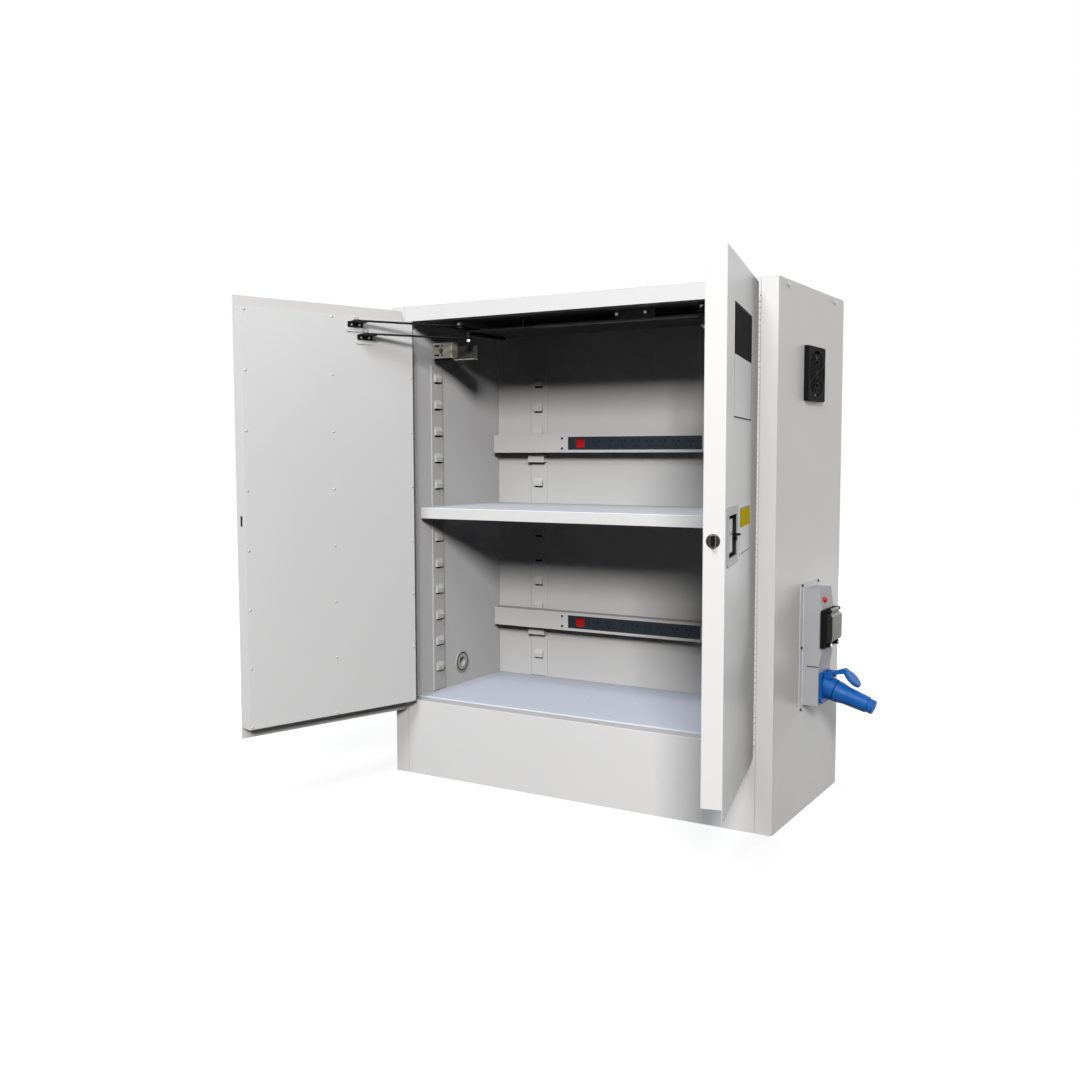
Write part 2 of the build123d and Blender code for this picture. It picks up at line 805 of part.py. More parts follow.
def strip_channels():
    """Two folded channels across the back, each with a window."""
    t = channel_sheet
    shapes = []
    for z in channel_levels:
        y = channel_front
        channel = block(-channel_half, channel_half, y, y + channel_depth, z, z + channel_height)
        channel -= block(-channel_half - 1, channel_half + 1, y + t, y + channel_depth + 1,
                         z + t, z + channel_height - t)
        middle = z + channel_height / 2
        half = window_length / 2
        channel -= block(strip_centre_x - half, strip_centre_x + half, y - 1, y + t + 0.5,
                         middle - window_height / 2, middle + window_height / 2)
        for x in screw_columns:
            for row in screw_rows:
                channel -= rod_y(1.8, y - 1, y + t + 1, x, z + row)
        shapes.append(channel)
    return group(shapes)


def power_strips():
    """Two socket strips with a row of three-slot outlets and a rocker opening each."""
    shapes = []
    for z in channel_levels:
        middle = z + channel_height / 2
        y = channel_front + channel_sheet
        long_half = strip_length / 2
        body = block(strip_centre_x - long_half, strip_centre_x + long_half, y, y + strip_depth,
                     middle - strip_height / 2, middle + strip_height / 2)
        half = window_length / 2 - 0.4
        body += block(strip_centre_x - half, strip_centre_x + half, y - 2.2, y,
                      middle - window_height / 2 + 0.4, middle + window_height / 2 - 0.4)
        ear_y = y + 3
        for hand in (-1, 1):
            x0 = strip_centre_x + hand * long_half
            x_pair = sorted((x0, x0 + hand * strip_ear))
            body += block(x_pair[0], x_pair[1], y, ear_y, middle - strip_height / 2, middle + strip_height / 2)
        for x in screw_columns:
            for row in screw_rows:
                body -= rod_y(1.5, y - 1, ear_y + 1, x, z + row)
        for k in range(outlet_count):
            x = strip_centre_x + outlet_first + k * outlet_pitch
            for hand in (-1, 1):
                slot = Pos(x + hand * 6.9, y, middle + 4.5) * Rot(0, hand * 30, 0) * Box(2.0, 14, 8.0)
                body -= slot
            body -= Pos(x, y, middle - 8) * Box(2.0, 14, 8.0)
        x = strip_centre_x + rocker_offset
        body -= block(x - rocker_width / 2 - 0.6, x + rocker_width / 2 + 0.6, y - 3, y + 20,
                      middle - rocker_height / 2 - 1.2, middle + rocker_height / 2 + 1.2)
        body -= rod_x(rocker_pin + pin_clearance, x - rocker_width / 2 - 3, x + rocker_width / 2 + 3,
                      y + rocker_pivot, middle)
        shapes.append(body)
    return group(shapes)


def power_rocker(z):
    """Rocker of a power strip, tilted to one side."""
    middle = z + channel_height / 2
    y = channel_front + channel_sheet + rocker_pivot
    x = strip_centre_x + rocker_offset
    half = rocker_height / 2
    points = [(-5.2, -half), (-4.2, -half * 0.4), (-4.2, half * 0.4), (-5.2, half),
              (3, half - 2), (10, 2), (10, -2), (3, -half + 2)]
    body = prism(Plane.YZ, points, -rocker_width / 2, rocker_width / 2)
    body += rod_x(rocker_pin, -rocker_width / 2 - 2.5, rocker_width / 2 + 2.5, 0, 0)
    return Pos(x, y, middle) * Rot(rocker_tilt, 0, 0) * body


# Vent, fan and door switch

def vent_port():
    """Flanged tube through the left wall with a small inner hole."""
    y = front + vent_y
    inside = -inner_side
    outside = -side
    tube = rod_x(vent_tube_radius, outside, inside, y, vent_z)
    tube += rod_x(vent_flange_radius, inside, inside + vent_stand, y, vent_z)
    tube += rod_x(vent_flange_radius + 2, outside - vent_stand, outside, y, vent_z)
    tube -= rod_x(vent_bore_radius, outside - vent_stand - 1, inside - 4, y, vent_z)
    return tube - rod_x(vent_hole_radius, inside - 6, inside + vent_stand + 1, y, vent_z)


def fan_frame():
    """Square fan frame with four struts to its hub."""
    x1 = side - sheet
    x0 = x1 - fan_thickness
    y = front + fan_y
    half = fan_size / 2
    frame = block(x0, x1, y - half, y + half, fan_z - half, fan_z + half)
    frame = fillet(frame.edges().filter_by(Axis.X), 6)
    frame -= rod_x(fan_bore, x0 - 1, x1 + 1, y, fan_z)
    frame += rod_x(20, x0, x0 + 3, y, fan_z)
    for k in range(4):
        arm = Pos(0, 0, fan_bore / 2 + 8) * Box(3, 5, fan_bore - 14)
        strut = Pos(x0 + 1.5, y, fan_z) * Rot(45 + 90 * k, 0, 0) * arm
        frame += strut
    return frame + rod_x(4, x0, x0 + 12, y, fan_z)


def fan_rotor():
    """Hub and seven pitched blades."""
    x1 = side - sheet
    x0 = x1 - fan_thickness
    y = front + fan_y
    rotor = rod_x(20, x0 + 3.6, x1 - 3, y, fan_z)
    blade = Pos(0, 0, 36) * Rot(0, 0, 38) * Box(24, 1.8, 38)
    for k in range(7):
        rotor += Pos((x0 + x1) / 2 + 1, y, fan_z) * Rot(k * 360 / 7, 0, 0) * blade
    return rotor - rod_x(4 + pin_clearance, x0, x0 + 13, y, fan_z)


guard_rings = ((56, 7), (44, 7), (32, 7), (20, 7))


def fan_guard():
    """Flat square louvre cover over the fan outlet."""
    y = front + fan_y
    half = guard_size / 2
    face = side + guard_stand
    shell = block(side, face, y - half, y + half, fan_z - half, fan_z + half)
    shell = fillet(shell.edges().filter_by(Axis.X), 4)
    shell = chamfer(shell.faces().sort_by(Axis.X)[-1].edges(), 1.5)
    inner = half - guard_wall
    shell -= block(side - 1, face - guard_wall, y - inner, y + inner, fan_z - inner, fan_z + inner)
    for outer, width in guard_rings:
        ring = rod_x(outer, face - guard_wall - 1, face + 1, y, fan_z)
        shell -= ring - rod_x(outer - width, face - guard_wall - 2, face + 2, y, fan_z)
    for k in range(8):
        bar = Pos(0, 0, 33) * Box(guard_wall, 4, 54)
        spoke = Pos(face - guard_wall / 2, y, fan_z) * Rot(k * 45 + 22.5, 0, 0) * bar
        shell += spoke
    return shell


def switch_body():
    """Door switch with its bore for the plunger."""
    x0 = switch_x - switch_width / 2
    y0 = front + switch_y
    body = block(x0, x0 + switch_width, y0, y0 + switch_depth,
                 switch_z - switch_height / 2, switch_z + switch_height / 2)
    body = fillet(body.edges().filter_by(Axis.Z), 3)
    return body - rod_y(3.6, y0 - 1, y0 + 16, switch_x, switch_z)


def switch_plunger():
    """Sprung plunger of the door switch."""
    y0 = front + switch_y
    return rod_y(3.5, y0 - 8, y0 + 11, switch_x, switch_z) + rod_y(5, y0 - 8, y0 - 5, switch_x, switch_z)


# Power inlet

def box_outline(t):
    """Side outline of the inlet box as x and z, drawn inward by t."""
    face = side + box_stand
    return [(side, box_bottom + t), (face - t, box_bottom + t), (face - t, window_bottom - 50),
            (face + box_bulge - t, window_bottom - 13), (face + box_bulge - t, window_top),
            (face - 1 - t, box_top - t), (side, box_top - t)]


def inlet_box():
    """Sheet box on a flange, with its openings for the breaker, lamp and socket."""
    y0 = front + inlet_y - box_width / 2
    y1 = y0 + box_width
    t = box_sheet
    shape = prism(Plane.XZ, box_outline(0), y0, y1)
    shape += block(side, side + t, front + flange_left, front + flange_right, flange_bottom, flange_top)
    inner = [(x - (2 if x == side else 0), z) for x, z in box_outline(t)]
    shape -= prism(Plane.XZ, inner, y0 + t, y1 - t)
    face = side + box_stand
    shape -= block(face, face + 20, y0 + 10, y1 - 10, window_bottom + 10, window_top - 10)
    shape -= rod_x(collar_radius - 2, face - 5, face + 5, front + socket_y, socket_z)
    shape -= rod_x(4.5, face - 12, face + 12, front + lamp_y, lamp_z)
    return shape


def box_face(z):
    """Outer x of the inlet box at a height on its upper slope."""
    run = (z - window_top) / (box_top - window_top)
    return side + box_stand + box_bulge - run * (box_bulge + 1)


def pilot_lamp():
    """Domed lamp on the upper slope."""
    x = box_face(lamp_z)
    tilt = degrees(atan2(box_bulge + 1, box_top - window_top))
    lamp = Cylinder(lamp_radius, 2.5, align=(Align.CENTER, Align.CENTER, Align.MIN))
    lamp += Pos(0, 0, 2.5) * (Sphere(lamp_radius - 0.6) & Pos(0, 0, 5) * Box(20, 20, 10))
    lamp += Pos(0, 0, -11) * Cylinder(4.0, 11, align=(Align.CENTER, Align.CENTER, Align.MIN))
    return Pos(x + 0.1, front + lamp_y, lamp_z) * Rot(0, 90 - tilt, 0) * lamp


window_face = side + box_stand + box_bulge
frame_stand = 10.0
cover_hinge_x = window_face + frame_stand + 5.4
cover_hinge_z = window_top - 3
frame_half = 58.0
frame_knob_radius = 5.5
frame_knob_y = 31.0
cover_half = 40.0
cover_bulge = 14.0
cover_round = 12.0


def breaker_frame():
    """Window frame with the breaker module behind it."""
    y = front + inlet_y
    x0 = window_face
    x1 = x0 + frame_stand
    frame = block(x0, x1, y - frame_half, y + frame_half, window_bottom, window_top)
    frame = fillet(frame.edges().filter_by(Axis.X), 4)
    frame -= block(x0 - 1, x1 + 1, y - 36, y + 36, window_bottom + 14, window_top - 14)
    module = block(x0 - 34, x0 + 2, y - 35.5, y + 35.5, window_bottom + 14.5, window_top - 14.5)
    module -= block(x0 - 8, x0 + 3, y - 22, y - 8, window_bottom + 32, window_top - 32)
    for hand in (-1, 1):
        ledge = sorted((y + hand * 35.5, y + hand * 38))
        module += block(x0 - 2, x0, ledge[0], ledge[1], window_bottom + 30, window_top - 30)
        ear = sorted((y + hand * 30, y + hand * 41))
        frame += block(x1 - 1, cover_hinge_x + 4, ear[0], ear[1], cover_hinge_z - 3, cover_hinge_z + 4)
        frame += rod_y(5, ear[0], ear[1], cover_hinge_x, cover_hinge_z)
        frame -= rod_y(pin_radius, ear[0] - 1, ear[1] + 1, cover_hinge_x, cover_hinge_z)
    for hand in (-1, 1):
        frame += rod_x(frame_knob_radius, x1, x1 + 8, y + hand * frame_knob_y, window_bottom + 6)
    return group([frame, module])


def breaker_toggle():
    """Toggle of the breaker module."""
    y = front + inlet_y - 15
    z = (window_bottom + window_top) / 2
    x = window_face - 2
    toggle = rod_y(5, y - 6.7, y + 6.7, x, z)
    return toggle + Pos(x, y, z) * Rot(0, -25, 0) * Pos(6, 0, 0) * Box(12, 9, 4)


def breaker_cover():
    """Clear curved cover on two hinge ears."""
    y = front + inlet_y
    x0 = window_face + frame_stand + 0.4
    top = cover_hinge_z - 6
    low = window_bottom + 12
    t = 2.0
    cover = block(x0, x0 + cover_bulge, y - cover_half, y + cover_half, low, top)
    cover = fillet(cover.edges().filter_by(Axis.Y).group_by(Axis.X)[-1], cover_round)
    inner = block(x0 - 1, x0 + cover_bulge - t, y - cover_half + t, y + cover_half - t, low + t, top - t)
    inner = fillet(inner.edges().filter_by(Axis.Y).group_by(Axis.X)[-1], cover_round - t)
    cover -= inner
    barrel = rod_y(5, y - 29.5, y + 29.5, cover_hinge_x, cover_hinge_z)
    arm = block(cover_hinge_x - 2, cover_hinge_x + 2, y - 29.5, y + 29.5, top - t, cover_hinge_z)
    pin = rod_y(pin_radius - pin_clearance, y - 40.5, y + 40.5, cover_hinge_x, cover_hinge_z)
    return cover + barrel + arm + pin


def along_socket(distance, across=0.0):
    """Point on the tilted socket axis: distance out from the box face, across upward."""
    tilt = radians(socket_tilt)
    x = side + box_stand + distance * cos(tilt) + across * sin(tilt)
    z = socket_z - distance * sin(tilt) + across * cos(tilt)
    return Pos(x, front + socket_y, z) * Rot(0, 90 + socket_tilt, 0)


def tilted(radius, start, end, side_step=0.0, across=0.0):
    """Round bar along the socket axis."""
    place = along_socket((start + end) / 2, across)
    return place * Pos(0, side_step, 0) * Cylinder(radius, end - start)


pin_circle = 13.0


def socket_pins():
    """Places of the three contacts around the socket axis, as side step and rise."""
    return [(pin_circle * sin(radians(a)), -pin_circle * cos(radians(a))) for a in (0, 120, 240)]


def inlet_socket():
    """Square flange with a tilted collar, a back cup and three contacts."""
    face = side + box_stand
    y = front + socket_y
    half = socket_plate / 2
    low_z = socket_z - half - 2.5
    plate = block(face, face + socket_plate_thick, y - half, y + half, low_z, low_z + socket_plate)
    plate = fillet(plate.edges().filter_by(Axis.X), 8)
    collar = tilted(collar_radius, -12, collar_reach)
    keep = block(face + 0.5, face + 90, y - 60, y + 60, socket_z - 90, socket_z + 90)
    shape = plate + (collar & keep)
    shape -= tilted(collar_bore, 4, collar_reach + 5)
    cup = rod_x(collar_radius - 3, face - 18, face, y, socket_z)
    shape += cup
    for step, rise in socket_pins():
        shape += tilted(2.4, -2, 26, step, rise)
    ear = block(face + 6, face + 27, y - 19, y - 14, socket_z + 20, socket_z + 36)
    ear += block(face + 6, face + 27, y + 14, y + 19, socket_z + 20, socket_z + 36)
    ear -= rod_y(2.0, y - 20, y + 20, lid_hinge_x, lid_hinge_z)
    return shape + (ear - tilted(collar_radius - 1, -5, collar_reach + 20))


lid_hinge_x = side + box_stand + 23
lid_hinge_z = socket_z + 31.5
lid_radius = 26.0
lid_thickness = 7.0


def inlet_lid():
    """Sprung lid of the inlet, resting over the plug on a cranked arm."""
    y = front + socket_y
    hinge = rod_y(4.5, y - 13.6, y + 13.6, lid_hinge_x, lid_hinge_z)
    pin = rod_y(2.0 - pin_clearance, y - 18.5, y + 18.5, lid_hinge_x, lid_hinge_z)
    knee = (lid_hinge_x + 34, lid_hinge_z + 10)
    arm_points = [(lid_hinge_x, lid_hinge_z - 3.5), (lid_hinge_x, lid_hinge_z + 4), (knee[0] - 4, knee[1] + 5),
                  (knee[0] + 4, knee[1] + 2), (knee[0] + 2, knee[1] - 6)]
    arm = prism(Plane.XZ, arm_points, y - 11, y + 11)
    place = Pos(knee[0] + 16.5, y, knee[1] - 17.5) * Rot(0, 46, 0)
    disc = Cylinder(lid_radius, lid_thickness)
    disc = fillet(disc.edges().group_by(Axis.Z)[-1], 3)
    rim = Pos(0, 0, -lid_thickness / 2 - 1) * (Cylinder(lid_radius - 2, 2) - Cylinder(lid_radius - 5, 3))
    return hinge + pin + arm + place * (disc + rim)


def plug():
    """Free socket pushed on the inlet: nose, tapered body and gland nut."""
    profile = [(0, 10), (24.0, 10), (24.0, collar_reach + 1), (27.0, collar_reach + 3), (26.0, 46), (22.5, 62),
               (21.8, 80), (20.0, plug_reach - 20), (20.0, plug_reach - 17), (17.5, plug_reach - 15.5),
               (17.5, plug_reach - 2), (16.0, plug_reach), (0, plug_reach)]
    face = make_face(Polyline(*[(r, s) for r, s in profile], close=True))
    body = revolve(Plane.XZ.location * face, axis=Axis.Z, revolution_arc=360)
    body = along_socket(0) * body
    for step, rise in socket_pins():
        body -= tilted(3.2, 0, 30, step, rise)
    body -= tilted(6.5, plug_reach - 25, plug_reach + 5)
    for k in range(12):
        angle = radians(30 * k)
        body -= tilted(1.2, plug_reach - 14, plug_reach + 1, 17.8 * sin(angle), 17.8 * cos(angle))
    return body


# Handle, latch and lock

def handle_cup():
    """Recessed dish set in the right door's skin."""
    v0 = skin_inset - 2.0
    half_w = handle_plate_width / 2
    half_h = handle_plate_height / 2
    inner_w = recess_width / 2
    inner_h = recess_height / 2
    t = 1.5
    plate = door_block(handle_u - half_w, handle_u + half_w, v0, skin_inset, handle_z - half_h, handle_z + half_h)
    plate = fillet(plate.edges().filter_by(Axis.Y), 6)
    cup = door_block(handle_u - inner_w - t, handle_u + inner_w + t, skin_inset, recess_depth + t,
                     handle_z - inner_h - t, handle_z + inner_h + t)
    dish = plate + cup
    dish -= door_block(handle_u - inner_w, handle_u + inner_w, v0 - 1, recess_depth,
                       handle_z - inner_h, handle_z + inner_h)
    for hand in (-1, 1):
        lug = sorted((handle_z + hand * (lever_half + seat_gap), handle_z + hand * (lever_half + 3.3)))
        dish += door_block(lever_pivot_u - 6, lever_pivot_u + 5, 5, recess_depth, lug[0], lug[1])
    dish -= rod_z(pin_radius + pin_clearance, handle_z - 40, handle_z + 40, lever_pivot_u - hinge_x,
                  hinge_y + lever_pivot_v)
    return opened(dish - lock_hole(), "right")


def lock_hole():
    """Bore in the dish for the lock."""
    return rod_y(lock_radius + pin_clearance, hinge_y + recess_depth - 1, hinge_y + recess_depth + 3,
                 lock_u - hinge_x, handle_z)


def pull_lever():
    """Paddle that turns on an upright pin in the dish."""
    half = lever_half
    tip = lever_pivot_u - lever_reach
    paddle = door_block(tip, lever_pivot_u, 3, 7, handle_z - half, handle_z + half)
    paddle += door_block(tip, tip + 3, 3, 14, handle_z - half, handle_z + half)
    eye = rod_z(5, handle_z - half, handle_z + half, lever_pivot_u - hinge_x, hinge_y + lever_pivot_v)
    eye += door_block(lever_pivot_u - 4, lever_pivot_u + 4, 3, lever_pivot_v, handle_z - half, handle_z + half)
    pin = rod_z(pin_radius, handle_z - 39, handle_z + 39, lever_pivot_u - hinge_x, hinge_y + lever_pivot_v)
    return opened(paddle + eye + pin, "right")


def lock_cylinder():
    """Lock with its T key."""
    x = lock_u - hinge_x
    barrel = rod_y(lock_radius, hinge_y + 13, hinge_y + recess_depth + 8, x, handle_z)
    barrel += rod_y(lock_radius + 2.5, hinge_y + 15, hinge_y + recess_depth - 0.3, x, handle_z)
    key = door_block(lock_u - 13, lock_u + 13, 5, 13, handle_z - 3, handle_z + 3)
    return opened(barrel + key, "right")


def latch_bolt():
    """Sprung bolt in the door's leading edge, chamfered to ride over the strike."""
    u0 = door_width - 25
    bolt = door_block(u0, door_width + bolt_reach, latch_v - bolt_thick / 2, latch_v + bolt_thick / 2,
                      latch_z - bolt_tall / 2, latch_z + bolt_tall / 2)
    nose = bolt.edges().filter_by(Axis.Z).group_by(Axis.X)[-1].sort_by(Axis.Y)[-1]
    return opened(chamfer(nose, bolt_thick * 0.7, bolt_thick * 0.5), "right")


def latch_rosette():
    """Round guide of the bolt in the leading edge."""
    x_edge = door_width - hinge_x
    y = hinge_y + latch_v
    guide = rod_x(rosette_radius, x_edge, x_edge + 0.8, y, latch_z)
    guide += rod_x(rosette_radius - 1.6, x_edge - 22, x_edge, y, latch_z)
    slot = door_block(door_width - 30, door_width + 5,
                      latch_v - bolt_thick / 2 - 0.2, latch_v + bolt_thick / 2 + 0.2,
                      latch_z - bolt_tall / 2 - 0.2, latch_z + bolt_tall / 2 + 0.2)
    return opened(guide - slot, "right")


def blank_plates():
    """Two bare plates on the right door's skin."""
    v0 = skin_inset - plate_thick
    large = door_block(sign_u, sign_u + sign_width, v0, skin_inset, sign_z, sign_z + sign_height)
    small = door_block(label_u, label_u + label_width, v0, skin_inset, label_z, label_z + label_height)
    return opened(group([large, small]), "right")


# Fasteners

def panel_bolts():
    """Bolt heads on the casing, the inlet flange and the strip channels."""
    shapes = []
    for hand in (-1, 1):
        for y in (front + roof_bolt_front, back - roof_bolt_back):
            hexagon = Rot(0, hand * 90, 0) * extrude(RegularPolygon(roof_bolt_radius, 6), amount=4.5)
            head = Pos(hand * side, y, height - roof_bolt_drop) * hexagon
            x_pair = sorted((hand * side, hand * (side + 1)))
            shapes.append(head + rod_x(roof_washer_radius, *x_pair, y, height - roof_bolt_drop))
    for y in (front + flange_left + 12, front + flange_right - 12):
        for z in (flange_bottom + 5, (flange_bottom + flange_top) / 2, flange_top - 5):
            shapes.append(rod_x(3.5, side + box_sheet, side + box_sheet + 2.5, y, z))
    for z in channel_levels:
        for x in screw_columns:
            for row in screw_rows:
                y = channel_front
                head = rod_y(3.4, y - 1.8, y, x, z + row)
                shapes.append(head + rod_y(1.5, y, y + channel_sheet + 3, x, z + row))
    for x in (hanger_left + 6, hanger_left + 86):
        shapes.append(rod_y(4, front + hanger_y - 3.5, front + hanger_y, x, ceiling - 9))
    return group(shapes)


for hand in ("left", "right"):
    nodes[f"side_panel_{hand}"] = side_panel(hand)
    nodes[f"liner_{hand}"] = liner_side(hand)
    nodes[f"door_shell_{hand}"] = door_shell(hand)
    nodes[f"door_cover_{hand}"] = door_cover(hand)
    nodes[f"door_rivets_{hand}"] = door_rivets(hand)
    nodes[f"hinge_leaf_{hand}"] = hinge_leaf(hand)
    nodes[f"link_brackets_{hand}"] = link_brackets(hand)
    nodes[f"closer_crank_{hand}"] = closer_crank(hand)
    nodes[f"upper_link_{hand}"] = door_link(hand, "upper")
    nodes[f"lower_link_{hand}"] = door_link(hand, "lower")

nodes["back_panel"] = back_panel()
nodes["top_panel"] = top_panel()
nodes["header_rail"] = header_rail()
nodes["sump_front"] = sump_front()
nodes["base_pan"] = base_pan()
nodes["liner_back"] = liner_back()
nodes["liner_top"] = liner_top()
nodes["spill_tray"] = spill_tray()
nodes["frame_hinge_leaves"] = frame_hinge_leaves()
nodes["hinge_pins"] = hinge_pins()
nodes["closer_plate"] = closer_plate()
nodes["roof_brackets"] = roof_brackets()
nodes["shelf_columns"] = shelf_columns()
nodes["wall_hooks"] = wall_hooks()
nodes["shelf"] = shelf()
nodes["strip_channels"] = strip_channels()
nodes["power_strips"] = power_strips()
nodes["rocker_upper"] = power_rocker(channel_levels[0])
nodes["rocker_lower"] = power_rocker(channel_levels[1])
nodes["vent_port"] = vent_port()
nodes["fan_frame"] = fan_frame()
nodes["fan_rotor"] = fan_rotor()
nodes["fan_guard"] = fan_guard()
nodes["switch_body"] = switch_body()
nodes["switch_plunger"] = switch_plunger()
nodes["inlet_box"] = inlet_box()
nodes["pilot_lamp"] = pilot_lamp()
nodes["breaker_frame"] = breaker_frame()
nodes["breaker_toggle"] = breaker_toggle()
nodes["breaker_cover"] = breaker_cover()
nodes["inlet_socket"] = inlet_socket()
nodes["inlet_lid"] = inlet_lid()
nodes["plug"] = plug()
nodes["handle_cup"] = handle_cup()
nodes["pull_lever"] = pull_lever()
nodes["lock_cylinder"] = lock_cylinder()
nodes["latch_bolt"] = latch_bolt()
nodes["latch_rosette"] = latch_rosette()
nodes["blank_plates"] = blank_plates()
nodes["panel_bolts"] = panel_bolts()

for name, shape in nodes.items():
    export_step(shape, f"parts/{name}.step")
print(len(nodes), "nodes")
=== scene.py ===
import bpy
import bmesh
from math import cos, pi, radians, sin
from mathutils import Matrix, Vector


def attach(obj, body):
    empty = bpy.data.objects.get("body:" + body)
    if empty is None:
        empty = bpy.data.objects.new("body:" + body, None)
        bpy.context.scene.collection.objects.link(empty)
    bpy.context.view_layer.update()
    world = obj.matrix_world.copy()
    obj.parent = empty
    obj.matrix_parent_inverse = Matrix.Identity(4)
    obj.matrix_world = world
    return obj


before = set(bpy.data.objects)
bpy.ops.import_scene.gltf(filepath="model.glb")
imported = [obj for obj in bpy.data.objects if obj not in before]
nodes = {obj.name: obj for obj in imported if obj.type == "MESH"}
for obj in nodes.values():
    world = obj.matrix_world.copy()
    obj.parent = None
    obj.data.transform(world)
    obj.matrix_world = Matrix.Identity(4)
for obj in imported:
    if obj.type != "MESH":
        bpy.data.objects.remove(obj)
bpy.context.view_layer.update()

# Sizes in millimetres, as in the part's source; everything that is built is scaled to metres
MM = 0.001
INNER_SIDE = 502.0
INNER_BACK = 207.0
HINGE_X = 506.0
HINGE_Y = -259.6
DOOR_WIDTH = 504.7
REST = {"left": 107.3, "right": 103.6}
SIGN_OF = {"left": -1, "right": 1}

# Where faces meet at more than this they stay sharp when a piece is shaded smooth
SHARP_ANGLE = radians(40)


# Geometry helpers

def door_place(hand):
    """Matrix from a door's (u, v, z) in millimetres to metres in the row frame, door at rest."""
    s = SIGN_OF[hand]
    turn = radians(s * REST[hand])
    u_axis = Vector((-s * cos(turn), -s * sin(turn), 0))
    v_axis = Vector((-sin(turn), cos(turn), 0))
    place = Matrix.Identity(4)
    place.col[0][:3] = u_axis * MM
    place.col[1][:3] = v_axis * MM
    place.col[2][:3] = Vector((0, 0, MM))
    place.col[3][:3] = Vector((s * HINGE_X, HINGE_Y, 0)) * MM
    return place


def corners_of(name):
    """Corners of a node's box, in metres in the row frame."""
    node = nodes[name]
    return [node.matrix_world @ Vector(corner) for corner in node.bound_box]


def top_of(name):
    """Height in metres of a node's top."""
    return max(corner.z for corner in corners_of(name))


ROW = Matrix.Scale(MM, 4)


class Builder:
    """Collects shapes in millimetres into one mesh piece."""

    def __init__(self, place=ROW):
        self.bm = bmesh.new()
        self.place = place

    def block(self, x0, x1, y0, y1, z0, z1, bevel=0.0):
        """Box with all its edges rounded."""
        lo = Vector((min(x0, x1), min(y0, y1), min(z0, z1)))
        hi = Vector((max(x0, x1), max(y0, y1), max(z0, z1)))
        part = bmesh.new()
        bmesh.ops.create_cube(part, size=1)
        bmesh.ops.scale(part, vec=hi - lo, verts=part.verts)
        if bevel:
            bmesh.ops.bevel(part, geom=part.edges[:], offset=bevel, segments=2, profile=0.5,
                            affect="EDGES")
        self._merge(part, Matrix.Translation((lo + hi) / 2))

    def lathe(self, profile, origin, axis, segments):
        """Surface turned from (radius, distance) pairs along an axis."""
        part = bmesh.new()
        angles = [2 * pi * k / segments for k in range(segments)]
        rings = []
        for radius, distance in profile:
            if radius == 0:
                rings.append([part.verts.new((0, 0, distance))])
            else:
                rings.append([part.verts.new((radius * cos(a), radius * sin(a), distance))
                              for a in angles])
        for low, high in zip(rings, rings[1:]):
            for k in range(segments):
                n = (k + 1) % segments
                if len(low) == 1:
                    part.faces.new((low[0], high[k], high[n]))
                elif len(high) == 1:
                    part.faces.new((low[k], high[0], low[n]))
                else:
                    part.faces.new((low[k], high[k], high[n], low[n]))
        bmesh.ops.recalc_face_normals(part, faces=part.faces)
        upright = Vector((0, 0, 1))
        turn = upright.rotation_difference(Vector(axis).normalized()).to_matrix().to_4x4()
        self._merge(part, Matrix.Translation(Vector(origin)) @ turn)

    def _merge(self, part, matrix):
        mesh = bpy.data.meshes.new("part")
        bmesh.ops.transform(part, matrix=matrix, verts=part.verts)
        part.to_mesh(mesh)
        part.free()
        self.bm.from_mesh(mesh)
        bpy.data.meshes.remove(mesh)

    def piece(self, name, material, body, smooth=False):
        """Finishes the mesh as one object that rides on a body."""
        bmesh.ops.transform(self.bm, matrix=self.place, verts=self.bm.verts)
        if self.place.determinant() < 0:
            bmesh.ops.reverse_faces(self.bm, faces=self.bm.faces)
        mesh = bpy.data.meshes.new(name)
        self.bm.to_mesh(mesh)
        self.bm.free()
        obj = bpy.data.objects.new(name, mesh)
        bpy.context.scene.collection.objects.link(obj)
        mesh.materials.append(material)
        if smooth:
            for polygon in mesh.polygons:
                polygon.use_smooth = True
            mesh.set_sharp_from_angle(angle=SHARP_ANGLE)
        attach(obj, body)


# Node helpers; a Mix node's colour sockets are known by number

MIX_LOW, MIX_HIGH, MIX_RESULT = 6, 7, 2


def connect(tree, node, inputs):
    """Gives a node's inputs, which are values or other nodes' outputs."""
    for key, value in inputs.items():
        if isinstance(value, bpy.types.NodeSocket):
            tree.links.new(value, node.inputs[key])
        else:
            node.inputs[key].default_value = value


def add(tree, kind, inputs=None, **settings):
    """Node with its settings and its inputs."""
    node = tree.nodes.new(kind)
    for key, value in settings.items():
        setattr(node, key, value)
    connect(tree, node, inputs or {})
    return node


def new_material(name):
    """Material with an emptied node tree and a Principled shader wired to its output."""
    material = bpy.data.materials.new(name)
    material.use_nodes = True
    tree = material.node_tree
    tree.nodes.clear()
    output = add(tree, "ShaderNodeOutputMaterial")
    shader = add(tree, "ShaderNodeBsdfPrincipled")
    tree.links.new(shader.outputs["BSDF"], output.inputs["Surface"])
    return material, tree, shader


def surface_place(tree):
    """Place on the object, in metres in the row frame."""
    return add(tree, "ShaderNodeTexCoord").outputs["Object"]


def along(tree, place, axis):
    """One coordinate of a place."""
    return add(tree, "ShaderNodeSeparateXYZ", {"Vector": place}).outputs[axis]


def beyond(tree, value, limit):
    """1 where a value is over a limit, else 0."""
    node = add(tree, "ShaderNodeMath", {0: value, 1: limit}, operation="GREATER_THAN")
    return node.outputs[0]


def noise(tree, place, scale, detail, roughness=0.5):
    """Value of a noise over the surface."""
    inputs = {"Vector": place, "Scale": scale, "Detail": detail, "Roughness": roughness}
    return add(tree, "ShaderNodeTexNoise", inputs).outputs["Fac"]


